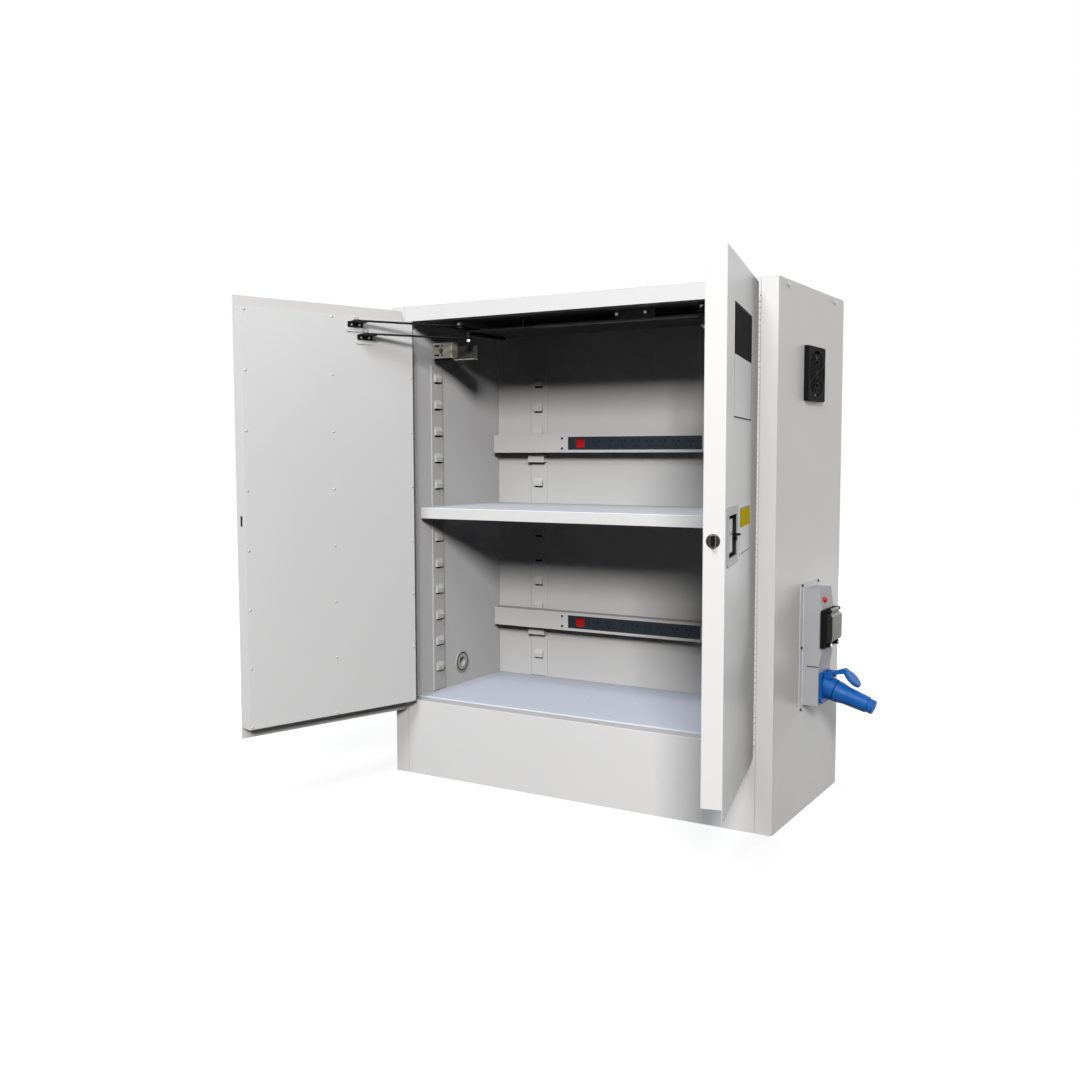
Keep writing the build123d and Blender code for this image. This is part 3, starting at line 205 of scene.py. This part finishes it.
def grain(tree, place):
    """Spark-eroded grain of a mould."""
    cells = add(tree, "ShaderNodeTexVoronoi", {"Vector": place, "Scale": GRAIN_SCALE})
    return cells.outputs["Distance"]


def mixed(tree, factor, low, high):
    """Colour between two colours."""
    node = add(tree, "ShaderNodeMix", {"Factor": factor, MIX_LOW: low, MIX_HIGH: high},
               data_type="RGBA")
    return node.outputs[MIX_RESULT]


def ranged(tree, value, low, high):
    """A 0 to 1 value carried to a range."""
    node = add(tree, "ShaderNodeMapRange", {"Value": value, "To Min": low, "To Max": high})
    return node.outputs["Result"]


def varied(tree, place, colour, spread, scale):
    """Colour that wanders a little over the surface."""
    low = tuple(c * (1 - spread) for c in colour) + (1,)
    high = tuple(min(1, c * (1 + spread * 0.5)) for c in colour) + (1,)
    return mixed(tree, noise(tree, place, scale, 3.0, 0.55), low, high)


def edge_normal(tree, radius, height, strength, distance):
    """Rounded edges and a fine bump, joined into one normal."""
    rounded = add(tree, "ShaderNodeBevel", {"Radius": radius}, samples=4)
    bump = add(tree, "ShaderNodeBump", {"Strength": strength, "Distance": distance,
                                        "Height": height, "Normal": rounded.outputs["Normal"]})
    return bump.outputs["Normal"]


# Materials: scales are per metre, edge radii and bump depths in metres

PEEL_SCALE = 420.0
PEEL_DEPTH = 0.00006
PEEL_STRENGTH = 0.35
PAINT_EDGE = 0.0009
PAINT_PATCHES = (0.03, 3.0)
GRAIN_SCALE = 900.0
GRAIN_DEPTH = 0.00004
GRAIN_STRENGTH = 0.3
MOULDED_EDGE = 0.0005
DISH_EDGE = 0.0006
SCRATCH_SCALE = 300.0
SCRATCH_STRETCH = (1, 1, 12)
SCRATCH_DEPTH = 0.00002
METAL_EDGE = 0.0003
METAL_PATCHES = (0.12, 60.0)
HAZE_SCALE = 60.0
HAZE_DEPTH = 0.00003
COVER_EDGE = 0.0004
COVER_TRANSMISSION = 0.8
COVER_IOR = 1.3


def powder_coat(name, colour, roughness=0.38, peel=PEEL_DEPTH, edge=PAINT_EDGE, specular=0.35,
                coat=0.08):
    """Powder-coated sheet: fine orange peel, faint mottling, slightly uneven gloss."""
    material, tree, shader = new_material(name)
    place = surface_place(tree)
    peel_noise = noise(tree, place, PEEL_SCALE, 2.0)
    gloss = noise(tree, place, 9.0, 4.0, 0.6)
    connect(tree, shader, {
        "Base Color": varied(tree, place, colour, *PAINT_PATCHES),
        "Roughness": ranged(tree, gloss, roughness - 0.05, roughness + 0.07),
        "Normal": edge_normal(tree, edge, peel_noise, PEEL_STRENGTH, peel),
        "Specular IOR Level": specular,
        "Coat Weight": coat,
        "Coat Roughness": 0.12,
    })
    return material


def two_reaches(name, colour, near, limit, axis="X"):
    """Powder coat with another colour up to a limit along an axis, such as a flange's."""
    material, tree, shader = new_material(name)
    place = surface_place(tree)
    over = beyond(tree, along(tree, place, axis), limit)
    peel_noise = noise(tree, place, PEEL_SCALE, 2.0)
    connect(tree, shader, {
        "Base Color": mixed(tree, over, varied(tree, place, near, *PAINT_PATCHES),
                            varied(tree, place, colour, *PAINT_PATCHES)),
        "Normal": edge_normal(tree, PAINT_EDGE, peel_noise, PEEL_STRENGTH, PEEL_DEPTH),
        "Roughness": 0.45,
        "Specular IOR Level": 0.2,
    })
    return material


def moulded(name, colour, roughness=0.45, coat=0.0, specular=0.4):
    """Moulded plastic with a fine spark-eroded grain."""
    material, tree, shader = new_material(name)
    place = surface_place(tree)
    gloss = noise(tree, place, 40.0, 3.0)
    connect(tree, shader, {
        "Base Color": varied(tree, place, colour, 0.08, 30.0),
        "Roughness": ranged(tree, gloss, roughness - 0.06, roughness + 0.08),
        "Normal": edge_normal(tree, MOULDED_EDGE, grain(tree, place), GRAIN_STRENGTH, GRAIN_DEPTH),
        "Specular IOR Level": specular,
        "Coat Weight": coat,
        "Coat Roughness": 0.1,
    })
    return material


def two_depths(name, rim, hollow):
    """Plastic dish with another colour below its rim, deeper along the door's normal."""
    material, tree, shader = new_material(name)
    place = surface_place(tree)
    door = door_place("right")
    normal = Vector(door.col[1][:3]).normalized()
    hinge = Vector(door.col[3][:3])
    depth = add(tree, "ShaderNodeVectorMath", {0: place, 1: tuple(normal)},
                operation="DOT_PRODUCT").outputs["Value"]
    sunk = beyond(tree, depth, normal.dot(hinge) + DISH_RIM)
    connect(tree, shader, {
        "Base Color": mixed(tree, sunk, varied(tree, place, rim, 0.06, 30.0),
                            varied(tree, place, hollow, 0.06, 30.0)),
        "Normal": edge_normal(tree, DISH_EDGE, grain(tree, place), GRAIN_STRENGTH, GRAIN_DEPTH),
        "Roughness": 0.38,
        "Specular IOR Level": 0.3,
    })
    return material


def metal(name, colour, roughness, below=None):
    """Bare or plated metal with fine drawn lines; below is another colour and where it ends."""
    material, tree, shader = new_material(name)
    place = surface_place(tree)
    drawn = add(tree, "ShaderNodeMapping", {"Vector": place, "Scale": SCRATCH_STRETCH})
    lines = noise(tree, drawn.outputs["Vector"], SCRATCH_SCALE, 4.0, 0.6)
    shade = varied(tree, place, colour, *METAL_PATCHES)
    if below:
        low_colour, height = below
        over = beyond(tree, along(tree, place, "Z"), height)
        shade = mixed(tree, over, varied(tree, place, low_colour, *METAL_PATCHES), shade)
    connect(tree, shader, {
        "Base Color": shade,
        "Roughness": ranged(tree, lines, roughness - 0.08, roughness + 0.12),
        "Normal": edge_normal(tree, METAL_EDGE, lines, 0.2, SCRATCH_DEPTH),
        "Metallic": 1.0,
    })
    return material


def clear_plastic(name, colour, roughness):
    """Tinted clear cover."""
    material, tree, shader = new_material(name)
    place = surface_place(tree)
    haze = noise(tree, place, HAZE_SCALE, 4.0)
    connect(tree, shader, {
        "Base Color": varied(tree, place, colour, 0.1, 40.0),
        "Roughness": ranged(tree, haze, roughness, roughness + 0.1),
        "Normal": edge_normal(tree, COVER_EDGE, haze, 0.1, HAZE_DEPTH),
        "Transmission Weight": COVER_TRANSMISSION,
        "Specular IOR Level": 0.2,
        "IOR": COVER_IOR,
    })
    return material


# Limits between two colours, in metres: the dish's rim over the door's skin, the box's flange,
# the roof brackets' feet, the shelf's lip, and the bolts at the roof over those below
DISH_RIM = 0.0009
BOX_FLANGE = 0.5525
BRACKET_FOOT = 1.1523
SHELF_LIP = top_of("shelf") - 0.002
ROOF_BOLTS = 1.24

inner = {"roughness": 0.5, "specular": 0.1, "coat": 0.0}
white = powder_coat("white_powder_coat", (0.80, 0.79, 0.78))
# Side liners: whiter than the inside paint; this is painted light standing in for light from the
# right
liner_painted_light = powder_coat("painted_light_liner", (0.86, 0.855, 0.86), **inner)
# Inside paint: greyer than the outer white, which is painted shade for the dimmer interior
inside_painted_shade = powder_coat("painted_shade_inside", (0.74, 0.735, 0.73), **inner)
# Roof liner and closer plate: the dark grey is painted shade, standing in for the shadow under the
# header
roof_painted_shade = powder_coat("painted_shade_roof", (0.22, 0.22, 0.22), **inner)
# Door covers: whiter than the outer paint, which is painted light
cover_painted_light = powder_coat("painted_light_covers", (0.86, 0.855, 0.85), coat=0.0)
# Spill tray: the bluish tint and extra brightness are a painted reflection on white paint
tray_painted_reflection = powder_coat("painted_reflection_tray", (0.84, 0.88, 1.0), roughness=0.45, peel=0.0, coat=0.0)
hinge_white = powder_coat("hinge_paint", (0.78, 0.77, 0.76), roughness=0.4, edge=0.0004)
plate_white = powder_coat("blank_plate", (0.84, 0.84, 0.84), roughness=0.3, edge=0.0004)
black_metal = powder_coat("black_satin_paint", (0.012, 0.012, 0.013), roughness=0.45, edge=0.0006,
                          specular=0.25, coat=0.0)

# Inlet box: the body is darker than its white flange, which is painted shade copying the shaded
# front face of the box
box_painted_shade = two_reaches("painted_shade_box", (0.46, 0.455, 0.47), (0.80, 0.80, 0.80), BOX_FLANGE)
# Shelf: the bluish, brighter white above the lip is a painted sheen on the lit top, and the lip
# keeps the plain white
shelf_painted_sheen = two_reaches("painted_sheen_shelf_top", (0.92, 0.94, 1.0), (0.80, 0.79, 0.78), SHELF_LIP, "Z")
# Roof brackets: the near black above the foot is painted shade, and the paler foot is the lit lip
bracket_painted_shade = two_reaches("painted_shade_brackets_lit_foot", (0.07, 0.07, 0.068), (0.62, 0.62, 0.60), BRACKET_FOOT,
                           "Z")

strip_dark = moulded("strip_front", (0.022, 0.030, 0.045), roughness=0.4, specular=0.25)
strip_line = moulded("strip_outlet_edge", (0.045, 0.055, 0.075), roughness=0.4, specular=0.3)
black_plastic = moulded("black_plastic", (0.009, 0.009, 0.010), roughness=0.7, specular=0.06)
white_plastic = moulded("white_plastic", (0.62, 0.615, 0.60), roughness=0.4)
cream_plastic = moulded("cream_plastic", (0.46, 0.45, 0.38))
red_plastic = moulded("red_plastic", (0.55, 0.012, 0.014), roughness=0.35, coat=0.2, specular=0.3)
blue_plastic = moulded("blue_plastic", (0.006, 0.11, 0.42), roughness=0.4, specular=0.25)
print_dark = moulded("printed_dark", (0.012, 0.012, 0.013), roughness=0.8, specular=0.03)
print_yellow = moulded("printed_yellow", (0.66, 0.50, 0.012), roughness=0.8, specular=0.03)
dish = two_depths("handle_dish", (0.42, 0.43, 0.44), (0.012, 0.012, 0.013))
smoke = clear_plastic("smoke_cover", (0.13, 0.135, 0.105), 0.25)

zinc = metal("zinc_plated", (0.62, 0.62, 0.62), 0.32)
bolt_metal = metal("plated_bolts", (0.62, 0.62, 0.62), 0.36,
                   below=((0.05, 0.05, 0.048), ROOF_BOLTS))
steel = metal("latch_steel", (0.34, 0.34, 0.34), 0.35)
bronze = metal("dark_bronze", (0.042, 0.039, 0.033), 0.36)

finishes = {
    white: ["side_panel_left", "side_panel_right", "back_panel", "top_panel", "header_rail",
            "sump_front", "door_rivets_left", "door_rivets_right", "door_shell_left",
            "door_shell_right"],
    cover_painted_light: ["door_cover_left", "door_cover_right"],
    liner_painted_light: ["liner_left", "liner_right"],
    box_painted_shade: ["inlet_box"],
    inside_painted_shade: ["wall_hooks", "base_pan", "liner_back", "shelf_columns", "strip_channels"],
    roof_painted_shade: ["liner_top", "closer_plate"],
    bracket_painted_shade: ["roof_brackets"],
    tray_painted_reflection: ["spill_tray"],
    shelf_painted_sheen: ["shelf"],
    hinge_white: ["frame_hinge_leaves", "hinge_leaf_left", "hinge_leaf_right"],
    strip_dark: ["power_strips"],
    black_metal: ["closer_crank_left", "closer_crank_right", "upper_link_left",
                  "upper_link_right", "lower_link_left", "lower_link_right",
                  "link_brackets_left", "link_brackets_right"],
    black_plastic: ["latch_bolt", "fan_guard", "fan_frame", "fan_rotor", "breaker_toggle",
                    "breaker_frame"],
    dish: ["handle_cup"],
    cream_plastic: ["switch_body"],
    white_plastic: ["vent_port"],
    red_plastic: ["rocker_upper", "rocker_lower", "pilot_lamp"],
    blue_plastic: ["inlet_socket", "inlet_lid", "plug"],
    smoke: ["breaker_cover"],
    zinc: ["hinge_pins", "switch_plunger"],
    bolt_metal: ["panel_bolts"],
    steel: ["pull_lever"],
    bronze: ["latch_rosette", "lock_cylinder"],
    plate_white: ["blank_plates"],
}
for material, names in finishes.items():
    for name in names:
        mesh = nodes[name].data
        mesh.materials.clear()
        mesh.materials.append(material)


# Details that ride on the CAD bodies

def flat_frame(builder, u0, u1, v0, v1, z0, z1, width):
    """Four thin bars around a rectangle."""
    builder.block(u0, u1, v0, v1, z0, z0 + width)
    builder.block(u0, u1, v0, v1, z1 - width, z1)
    builder.block(u0, u0 + width, v0, v1, z0 + width, z1 - width)
    builder.block(u1 - width, u1, v0, v1, z0 + width, z1 - width)


def flat_frame_v(builder, u0, u1, v0, v1, z0, z1, width):
    """Four thin bars around a rectangle that stands across the door's edge."""
    builder.block(u0, u1, v0, v1, z0, z0 + width)
    builder.block(u0, u1, v0, v1, z1 - width, z1)
    builder.block(u0, u1, v0, v0 + width, z0 + width, z1 - width)
    builder.block(u0, u1, v1 - width, v1, z0 + width, z1 - width)


def hexagon(builder, x, y, z0, z1, radius, dome=2.5):
    """Upright hexagon nut with a rounded stud end above or below it."""
    step = 1 if z1 > z0 else -1
    height = abs(z1 - z0)
    nut = [(0, 0), (radius * 0.88, 0), (radius, 0.6), (radius, height - 0.6),
           (radius * 0.88, height), (0, height)]
    stud = [(0, 0), (4.3, 0), (4.3, dome * 0.5), (3.4, dome * 0.85), (0, dome)]
    builder.lathe(nut, (x, y, z0), (0, 0, step), 6)
    builder.lathe(stud, (x, y, z1), (0, 0, step), 20)


# Plates on the right door, as u0, u1, z0, z1: the large one has a dark band and a border, the
# small one a yellow band and a thin border
SIGN = (135.0, 410.0, 961.0, 1187.0)
LABEL = (137.0, 304.0, 683.0, 780.0)
PLATE_FACE = -0.25
BAND_FACE = -0.5
BORDER_FACE = -0.45
PRINT_ROUNDING = 0.1
BORDER_INSET = 1.0
SIGN_BORDER = 2.6
SIGN_BAND_INSET = 4.0
SIGN_BAND_RISE = 124.0
LABEL_BORDER = 1.2
LABEL_BAND_INSET = 3.0
LABEL_BAND_DROP = 41.0


def plate_band(builder, plate, inset, low):
    """Printed band across a plate, from a height to the plate's top."""
    u0, u1, _, z1 = plate
    builder.block(u0 + inset, u1 - inset, BAND_FACE, PLATE_FACE, low, z1 - inset, PRINT_ROUNDING)


def plate_border(builder, plate, width):
    """Printed border just inside a plate's edge."""
    u0, u1, z0, z1 = plate
    flat_frame(builder, u0 + BORDER_INSET, u1 - BORDER_INSET, BORDER_FACE, PLATE_FACE,
               z0 + BORDER_INSET, z1 - BORDER_INSET, width)


right_door = door_place("right")
dark_band = Builder(right_door)
plate_band(dark_band, SIGN, SIGN_BAND_INSET, SIGN[2] + SIGN_BAND_RISE)
plate_border(dark_band, SIGN, SIGN_BORDER)
dark_band.piece("plate_dark_band", print_dark, "door_right")
yellow_band = Builder(right_door)
plate_band(yellow_band, LABEL, LABEL_BAND_INSET, LABEL[3] - LABEL_BAND_DROP)
yellow_band.piece("plate_yellow_band", print_yellow, "door_right")
thin_border = Builder(right_door)
plate_border(thin_border, LABEL, LABEL_BORDER)
thin_border.piece("plate_thin_border", print_dark, "door_right")

# Painted shade for the hollow seen through the slots of the columns: a thin dark block off the
# wall behind each slot
TAB_FIRST = 280.5
TAB_PITCH = 75.0
TAB_COUNT = 12
SLOT_DROP = 16.9
SLOT_HEIGHT = 13.6
SLOT_HALF = 13.4
SLOT_SHADE_OFFSETS = (0.1, 0.5)
SIDE_COLUMN_Y = -118.0
BACK_COLUMN_X = 357.0
slots = Builder()
for side in (-1, 1):
    side_faces = [side * (INNER_SIDE - off) for off in SLOT_SHADE_OFFSETS]
    back_faces = [INNER_BACK - off for off in SLOT_SHADE_OFFSETS]
    for k in range(TAB_COUNT):
        low = TAB_FIRST + k * TAB_PITCH - SLOT_DROP
        heights = (low, low + SLOT_HEIGHT)
        slots.block(*side_faces, SIDE_COLUMN_Y - SLOT_HALF, SIDE_COLUMN_Y + SLOT_HALF, *heights)
        x = side * BACK_COLUMN_X
        slots.block(x - SLOT_HALF, x + SLOT_HALF, *back_faces, *heights)
slots.piece("column_slot_painted_shade", print_dark, "cabinet")

# Nuts and studs of the closer: u and z of each link's pin, then of its bracket's pad
LINKS = {"upper": (187.0, 1232.5, 185.0, 1222.0), "lower": (158.0, 1201.0, 156.0, 1191.0)}
PIN_V = 56.0
CRANK_STEP = (150.0, 250.0)
LINK_NUT = (3.7, 8.3, 7.4)
UPPER_CRANK_NUT = (3.7, 10.8, 8.3, 3.5)
LOWER_CRANK_NUT = (-0.2, -6.3, 8.3)
PAD_FACE = 47.8
PAD_RAISED = 3.0
PAD_SCREW_STEP = 12.0
PAD_SCREW = [(0, 0), (4.6, 0), (4.6, 1.4), (3.2, 3.0), (0, 3.4)]


def nut_at(builder, x, y, z, nut):
    """Nut given as its start and end from a level, its radius and the stud's rise."""
    start, end, *rest = nut
    hexagon(builder, x, y, z + start, z + end, *rest)


for hand in ("left", "right"):
    on_door = Builder(door_place(hand))
    for u, z, pad_u, pad_z in LINKS.values():
        nut_at(on_door, u, PIN_V, z, LINK_NUT)
        for step in (-PAD_SCREW_STEP, PAD_SCREW_STEP):
            on_door.lathe(PAD_SCREW, (pad_u + step, PAD_FACE, pad_z + PAD_RAISED), (0, 1, 0), 6)
    on_door.piece(f"link_nuts_{hand}", zinc, f"door_{hand}", smooth=True)
    on_crank = Builder()
    s = SIGN_OF[hand]
    turn = radians(s * REST[hand])
    for level, (u, z, _, _) in LINKS.items():
        px = s * (HINGE_X - CRANK_STEP[0]) - s * u * cos(turn) - PIN_V * sin(turn)
        py = HINGE_Y + CRANK_STEP[1] - s * u * sin(turn) + PIN_V * cos(turn)
        nut_at(on_crank, px, py, z, UPPER_CRANK_NUT if level == "upper" else LOWER_CRANK_NUT)
    on_crank.piece(f"crank_nuts_{hand}", zinc, f"closer_crank_{hand}", smooth=True)

# Door switch: two terminals, each of two blocks given as x0, x1, front and half height, and two
# screws given as z and their direction
TERMINAL_LEVELS = (1191.0, 1165.0)
TERMINAL_BLOCKS = ((-480.0, -464.0, -155.4, 2.6), (-458.0, -452.0, -155.3, 2.2))
TERMINAL_BACK = -154.8
TERMINAL_ROUNDING = 0.4
SWITCH_SCREWS = ((1199.0, 1), (1157.0, -1))
SWITCH_SCREW_PLACE = (-428.0, -140.0)
SWITCH_SCREW = [(0, 0), (3.6, 0), (3.6, 1.6), (2.4, 2.6), (0, 3.0)]
terminals = Builder()
for z in TERMINAL_LEVELS:
    for x0, x1, front, half in TERMINAL_BLOCKS:
        terminals.block(x0, x1, front, TERMINAL_BACK, z - half, z + half, TERMINAL_ROUNDING)
terminals.piece("switch_terminals", print_dark, "cabinet")
screws = Builder()
for z, step in SWITCH_SCREWS:
    screws.lathe(SWITCH_SCREW, (*SWITCH_SCREW_PLACE, z), (0, 0, step), 24)
screws.piece("switch_screws", zinc, "cabinet", smooth=True)

# Frames around the outlets and the rocker of both socket strips
STRIP_LEVELS = (921.0, 393.0)
OUTLET_FIRST = -135.0
OUTLET_PITCH = 42.0
OUTLET_COUNT = 8
OUTLET_HALF = 18.0
OUTLET_FACE = 158.5
OUTLET_LINE = 0.9
ROCKER_ENDS = (-205.5, -172.5)
ROCKER_FACE = 158.3
ROCKER_LINE = 1.6
STRIP_FACE = 159.1
STRIP_HALF = 16.0
outlets = Builder()
for middle in STRIP_LEVELS:
    heights = (middle - STRIP_HALF, middle + STRIP_HALF)
    for k in range(OUTLET_COUNT):
        x = OUTLET_FIRST + OUTLET_PITCH * k
        flat_frame(outlets, x - OUTLET_HALF, x + OUTLET_HALF, OUTLET_FACE, STRIP_FACE, *heights,
                   OUTLET_LINE)
    flat_frame(outlets, *ROCKER_ENDS, ROCKER_FACE, STRIP_FACE, *heights, ROCKER_LINE)
outlets.piece("outlet_frames", strip_line, "cabinet")

# Inlet box: slit in its side, caps on the window's knobs
SIDE_SLIT = (562.0, 592.0, -49.4, -48.9, 368.0, 370.2)
KNOB_X = 615.8
KNOB_ROWS = (-32.0, 30.0)
KNOB_Z = 423.0
KNOB_CAP = [(0, 0), (5.0, 0), (5.9, 0.8), (5.9, 2.4), (5.0, 3.2), (1.4, 3.2), (1.2, 2.4), (0, 2.4)]
slit = Builder()
slit.block(*SIDE_SLIT, PRINT_ROUNDING)
slit.piece("inlet_side_slit", print_dark, "cabinet")
knobs = Builder()
for y in KNOB_ROWS:
    knobs.lathe(KNOB_CAP, (KNOB_X, y, KNOB_Z), (1, 0, 0), 24)
knobs.piece("window_knob_caps", zinc, "cabinet", smooth=True)

# Dark groove around the vent's hub
VENT_FACE = 3.0
VENT_Y = -3.0
GROOVE = [(24.5, 0), (27.5, 0), (27.5, 0.3), (24.5, 0.3), (24.5, 0)]
vent_corners = corners_of("vent_port")
vent_z = sum(corner.z for corner in vent_corners) / len(vent_corners) / MM
groove = Builder()
groove.lathe(GROOVE, (-INNER_SIDE + VENT_FACE, VENT_Y, vent_z), (1, 0, 0), 48)
groove.piece("vent_groove", print_dark, "cabinet")

# Bright lips of the bolt's slot in the door's edge
LATCH_V = 23.1
LATCH_Z = 727.0
LIP_HALF_WIDTH = 5.4
LIP_HALF_HEIGHT = 11.4
LIP_WIDTH = 1.2
LIP_FACES = (0.8, 1.3)
lips = Builder(right_door)
flat_frame_v(lips, DOOR_WIDTH + LIP_FACES[0], DOOR_WIDTH + LIP_FACES[1],
             LATCH_V - LIP_HALF_WIDTH, LATCH_V + LIP_HALF_WIDTH,
             LATCH_Z - LIP_HALF_HEIGHT, LATCH_Z + LIP_HALF_HEIGHT, LIP_WIDTH)
lips.piece("latch_slot_lips", steel, "door_right")

# Blade of the key that stands out of the lock
HANDLE_INSET = 100.7
LOCK_OFFSET = 38.0
LOCK_U = DOOR_WIDTH - HANDLE_INSET - LOCK_OFFSET
LOCK_Z = 731.0
KEY_HALF_WIDTH = 9.0
KEY_HALF_THICK = 1.9
KEY_DEPTHS = (-10.0, 5.0)
KEY_ROUNDING = 0.8
key = Builder(right_door)
key.block(LOCK_U - KEY_HALF_WIDTH, LOCK_U + KEY_HALF_WIDTH, *KEY_DEPTHS,
          LOCK_Z - KEY_HALF_THICK, LOCK_Z + KEY_HALF_THICK, KEY_ROUNDING)
key.piece("lock_key_blade", print_dark, "lock_cylinder")


# Floor, camera and light, in metres

WHITE = (1, 1, 1, 1)
FLOOR_SEEN = (0.34, 0.34, 0.34, 1)
FLOOR_BOUNCE = (0.08, 0.08, 0.08, 1)
FLOOR_FADE = {"From Min": 0.9, "From Max": 2.6, "To Min": 0.74, "To Max": 1.0}
FLOOR_SIZE = 30
WORLD_SOFT = 0.04
WORLD_BRIGHT = 1.0
CAMERA_PLACE = (1.4147, -2.7433, 0.8939)
CAMERA_ANGLES = (30.954, -4.415, -0.115)
CAMERA_LENS = 37.713
CAMERA_SENSOR = 36.0
CAMERA_REACH = 100
ALL_BOUNCES = 1024


def camera_like(tree):
    """1 for camera, glossy and transmission rays, 0 for the diffuse rays that light the object."""
    path = add(tree, "ShaderNodeLightPath")
    first = add(tree, "ShaderNodeMath",
                {0: path.outputs["Is Camera Ray"], 1: path.outputs["Is Glossy Ray"]},
                operation="MAXIMUM")
    second = add(tree, "ShaderNodeMath",
                 {0: first.outputs[0], 1: path.outputs["Is Transmission Ray"]},
                 operation="MAXIMUM")
    return second.outputs[0]


def chosen(tree, kind, lit, seen):
    """Output of one shader for the rays that light the object, of another for the rest."""
    output = add(tree, kind)
    choose = add(tree, "ShaderNodeMixShader",
                 {0: camera_like(tree), 1: lit.outputs[0], 2: seen.outputs[0]})
    tree.links.new(choose.outputs[0], output.inputs["Surface"])


def stage_floor():
    """Pale floor that keeps the shadow near the object and fades to the white backdrop."""
    material = bpy.data.materials.new("floor")
    material.use_nodes = True
    tree = material.node_tree
    tree.nodes.clear()
    reach = add(tree, "ShaderNodeVectorMath", {0: surface_place(tree)}, operation="LENGTH")
    glow_level = add(tree, "ShaderNodeMapRange", {"Value": reach.outputs["Value"], **FLOOR_FADE},
                     interpolation_type="SMOOTHSTEP").outputs["Result"]
    pale = add(tree, "ShaderNodeBsdfDiffuse", {"Color": FLOOR_SEEN})
    glow = add(tree, "ShaderNodeEmission", {"Color": WHITE, "Strength": glow_level})
    seen = add(tree, "ShaderNodeAddShader", {0: pale.outputs[0], 1: glow.outputs[0]})
    bounce = add(tree, "ShaderNodeBsdfDiffuse", {"Color": FLOOR_BOUNCE})
    chosen(tree, "ShaderNodeOutputMaterial", bounce, seen)
    bm = bmesh.new()
    bmesh.ops.create_grid(bm, x_segments=4, y_segments=4, size=FLOOR_SIZE)
    mesh = bpy.data.meshes.new("floor")
    bm.to_mesh(mesh)
    bm.free()
    floor = bpy.data.objects.new("floor", mesh)
    mesh.materials.append(material)
    bpy.context.scene.collection.objects.link(floor)


def world_light():
    """White to the camera and in reflections, softer as light."""
    world = bpy.data.worlds.new("studio")
    bpy.context.scene.world = world
    world.use_nodes = True
    tree = world.node_tree
    tree.nodes.clear()
    soft = add(tree, "ShaderNodeBackground", {"Color": WHITE, "Strength": WORLD_SOFT})
    bright = add(tree, "ShaderNodeBackground", {"Color": WHITE, "Strength": WORLD_BRIGHT})
    chosen(tree, "ShaderNodeOutputWorld", soft, bright)


def area_light(name, place, target, size, power, tint=(1.0, 1.0, 1.0), glossy=True,
               bounces=ALL_BOUNCES):
    """Soft square lamp aimed at a point; few bounces keep what it doesn't reach dark."""
    data = bpy.data.lights.new(name, "AREA")
    data.size = size
    data.energy = power
    data.color = tint
    data.cycles.max_bounces = bounces
    lamp = bpy.data.objects.new(name, data)
    bpy.context.scene.collection.objects.link(lamp)
    lamp.visible_glossy = glossy
    lamp.location = place
    lamp.rotation_euler = (Vector(target) - Vector(place)).to_track_quat("-Z", "Y").to_euler()


def photo_camera():
    """Camera at the photograph's viewing angle."""
    yaw, pitch, roll = (radians(angle) for angle in CAMERA_ANGLES)
    right = Vector((cos(yaw), sin(yaw), 0))
    ahead = Vector((-sin(yaw) * cos(pitch), cos(yaw) * cos(pitch), sin(pitch)))
    up = right.cross(ahead)
    turned_right = right * cos(roll) + up * sin(roll)
    turned_up = up * cos(roll) - right * sin(roll)
    data = bpy.data.cameras.new("photo_camera")
    data.sensor_fit = "HORIZONTAL"
    data.sensor_width = CAMERA_SENSOR
    data.lens = CAMERA_LENS
    data.clip_end = CAMERA_REACH
    camera = bpy.data.objects.new("photo_camera", data)
    bpy.context.scene.collection.objects.link(camera)
    basis = Matrix((turned_right, turned_up, -ahead)).transposed().to_4x4()
    camera.matrix_world = Matrix.Translation(CAMERA_PLACE) @ basis
    bpy.context.scene.camera = camera


stage_floor()
world_light()
photo_camera()
area_light("key", (4.7, -8.7, 4.9), (0.0, -0.2, 0.7), 1.95, 815, (1.0, 0.985, 0.97), bounces=0)
area_light("overhead", (0.45, -4.7, 6.0), (0.0, -0.2, 0.6), 2.7, 300, (0.92, 0.95, 1.0), bounces=0)
area_light("side_fill", (4.2, -0.4, 1.6), (0.5, 0.0, 0.7), 1.8, 14)
area_light("rear", (0.8, 5.8, 1.5), (0.5, -0.2, 0.6), 1.8, 345, (0.95, 0.97, 1.0), glossy=False,
           bounces=2)
area_light("left_fill", (-5.0, 0.3, 1.9), (-0.5, 0.0, 0.7), 2.0, 125, glossy=False, bounces=0)

bpy.context.scene.view_settings.view_transform = "Standard"
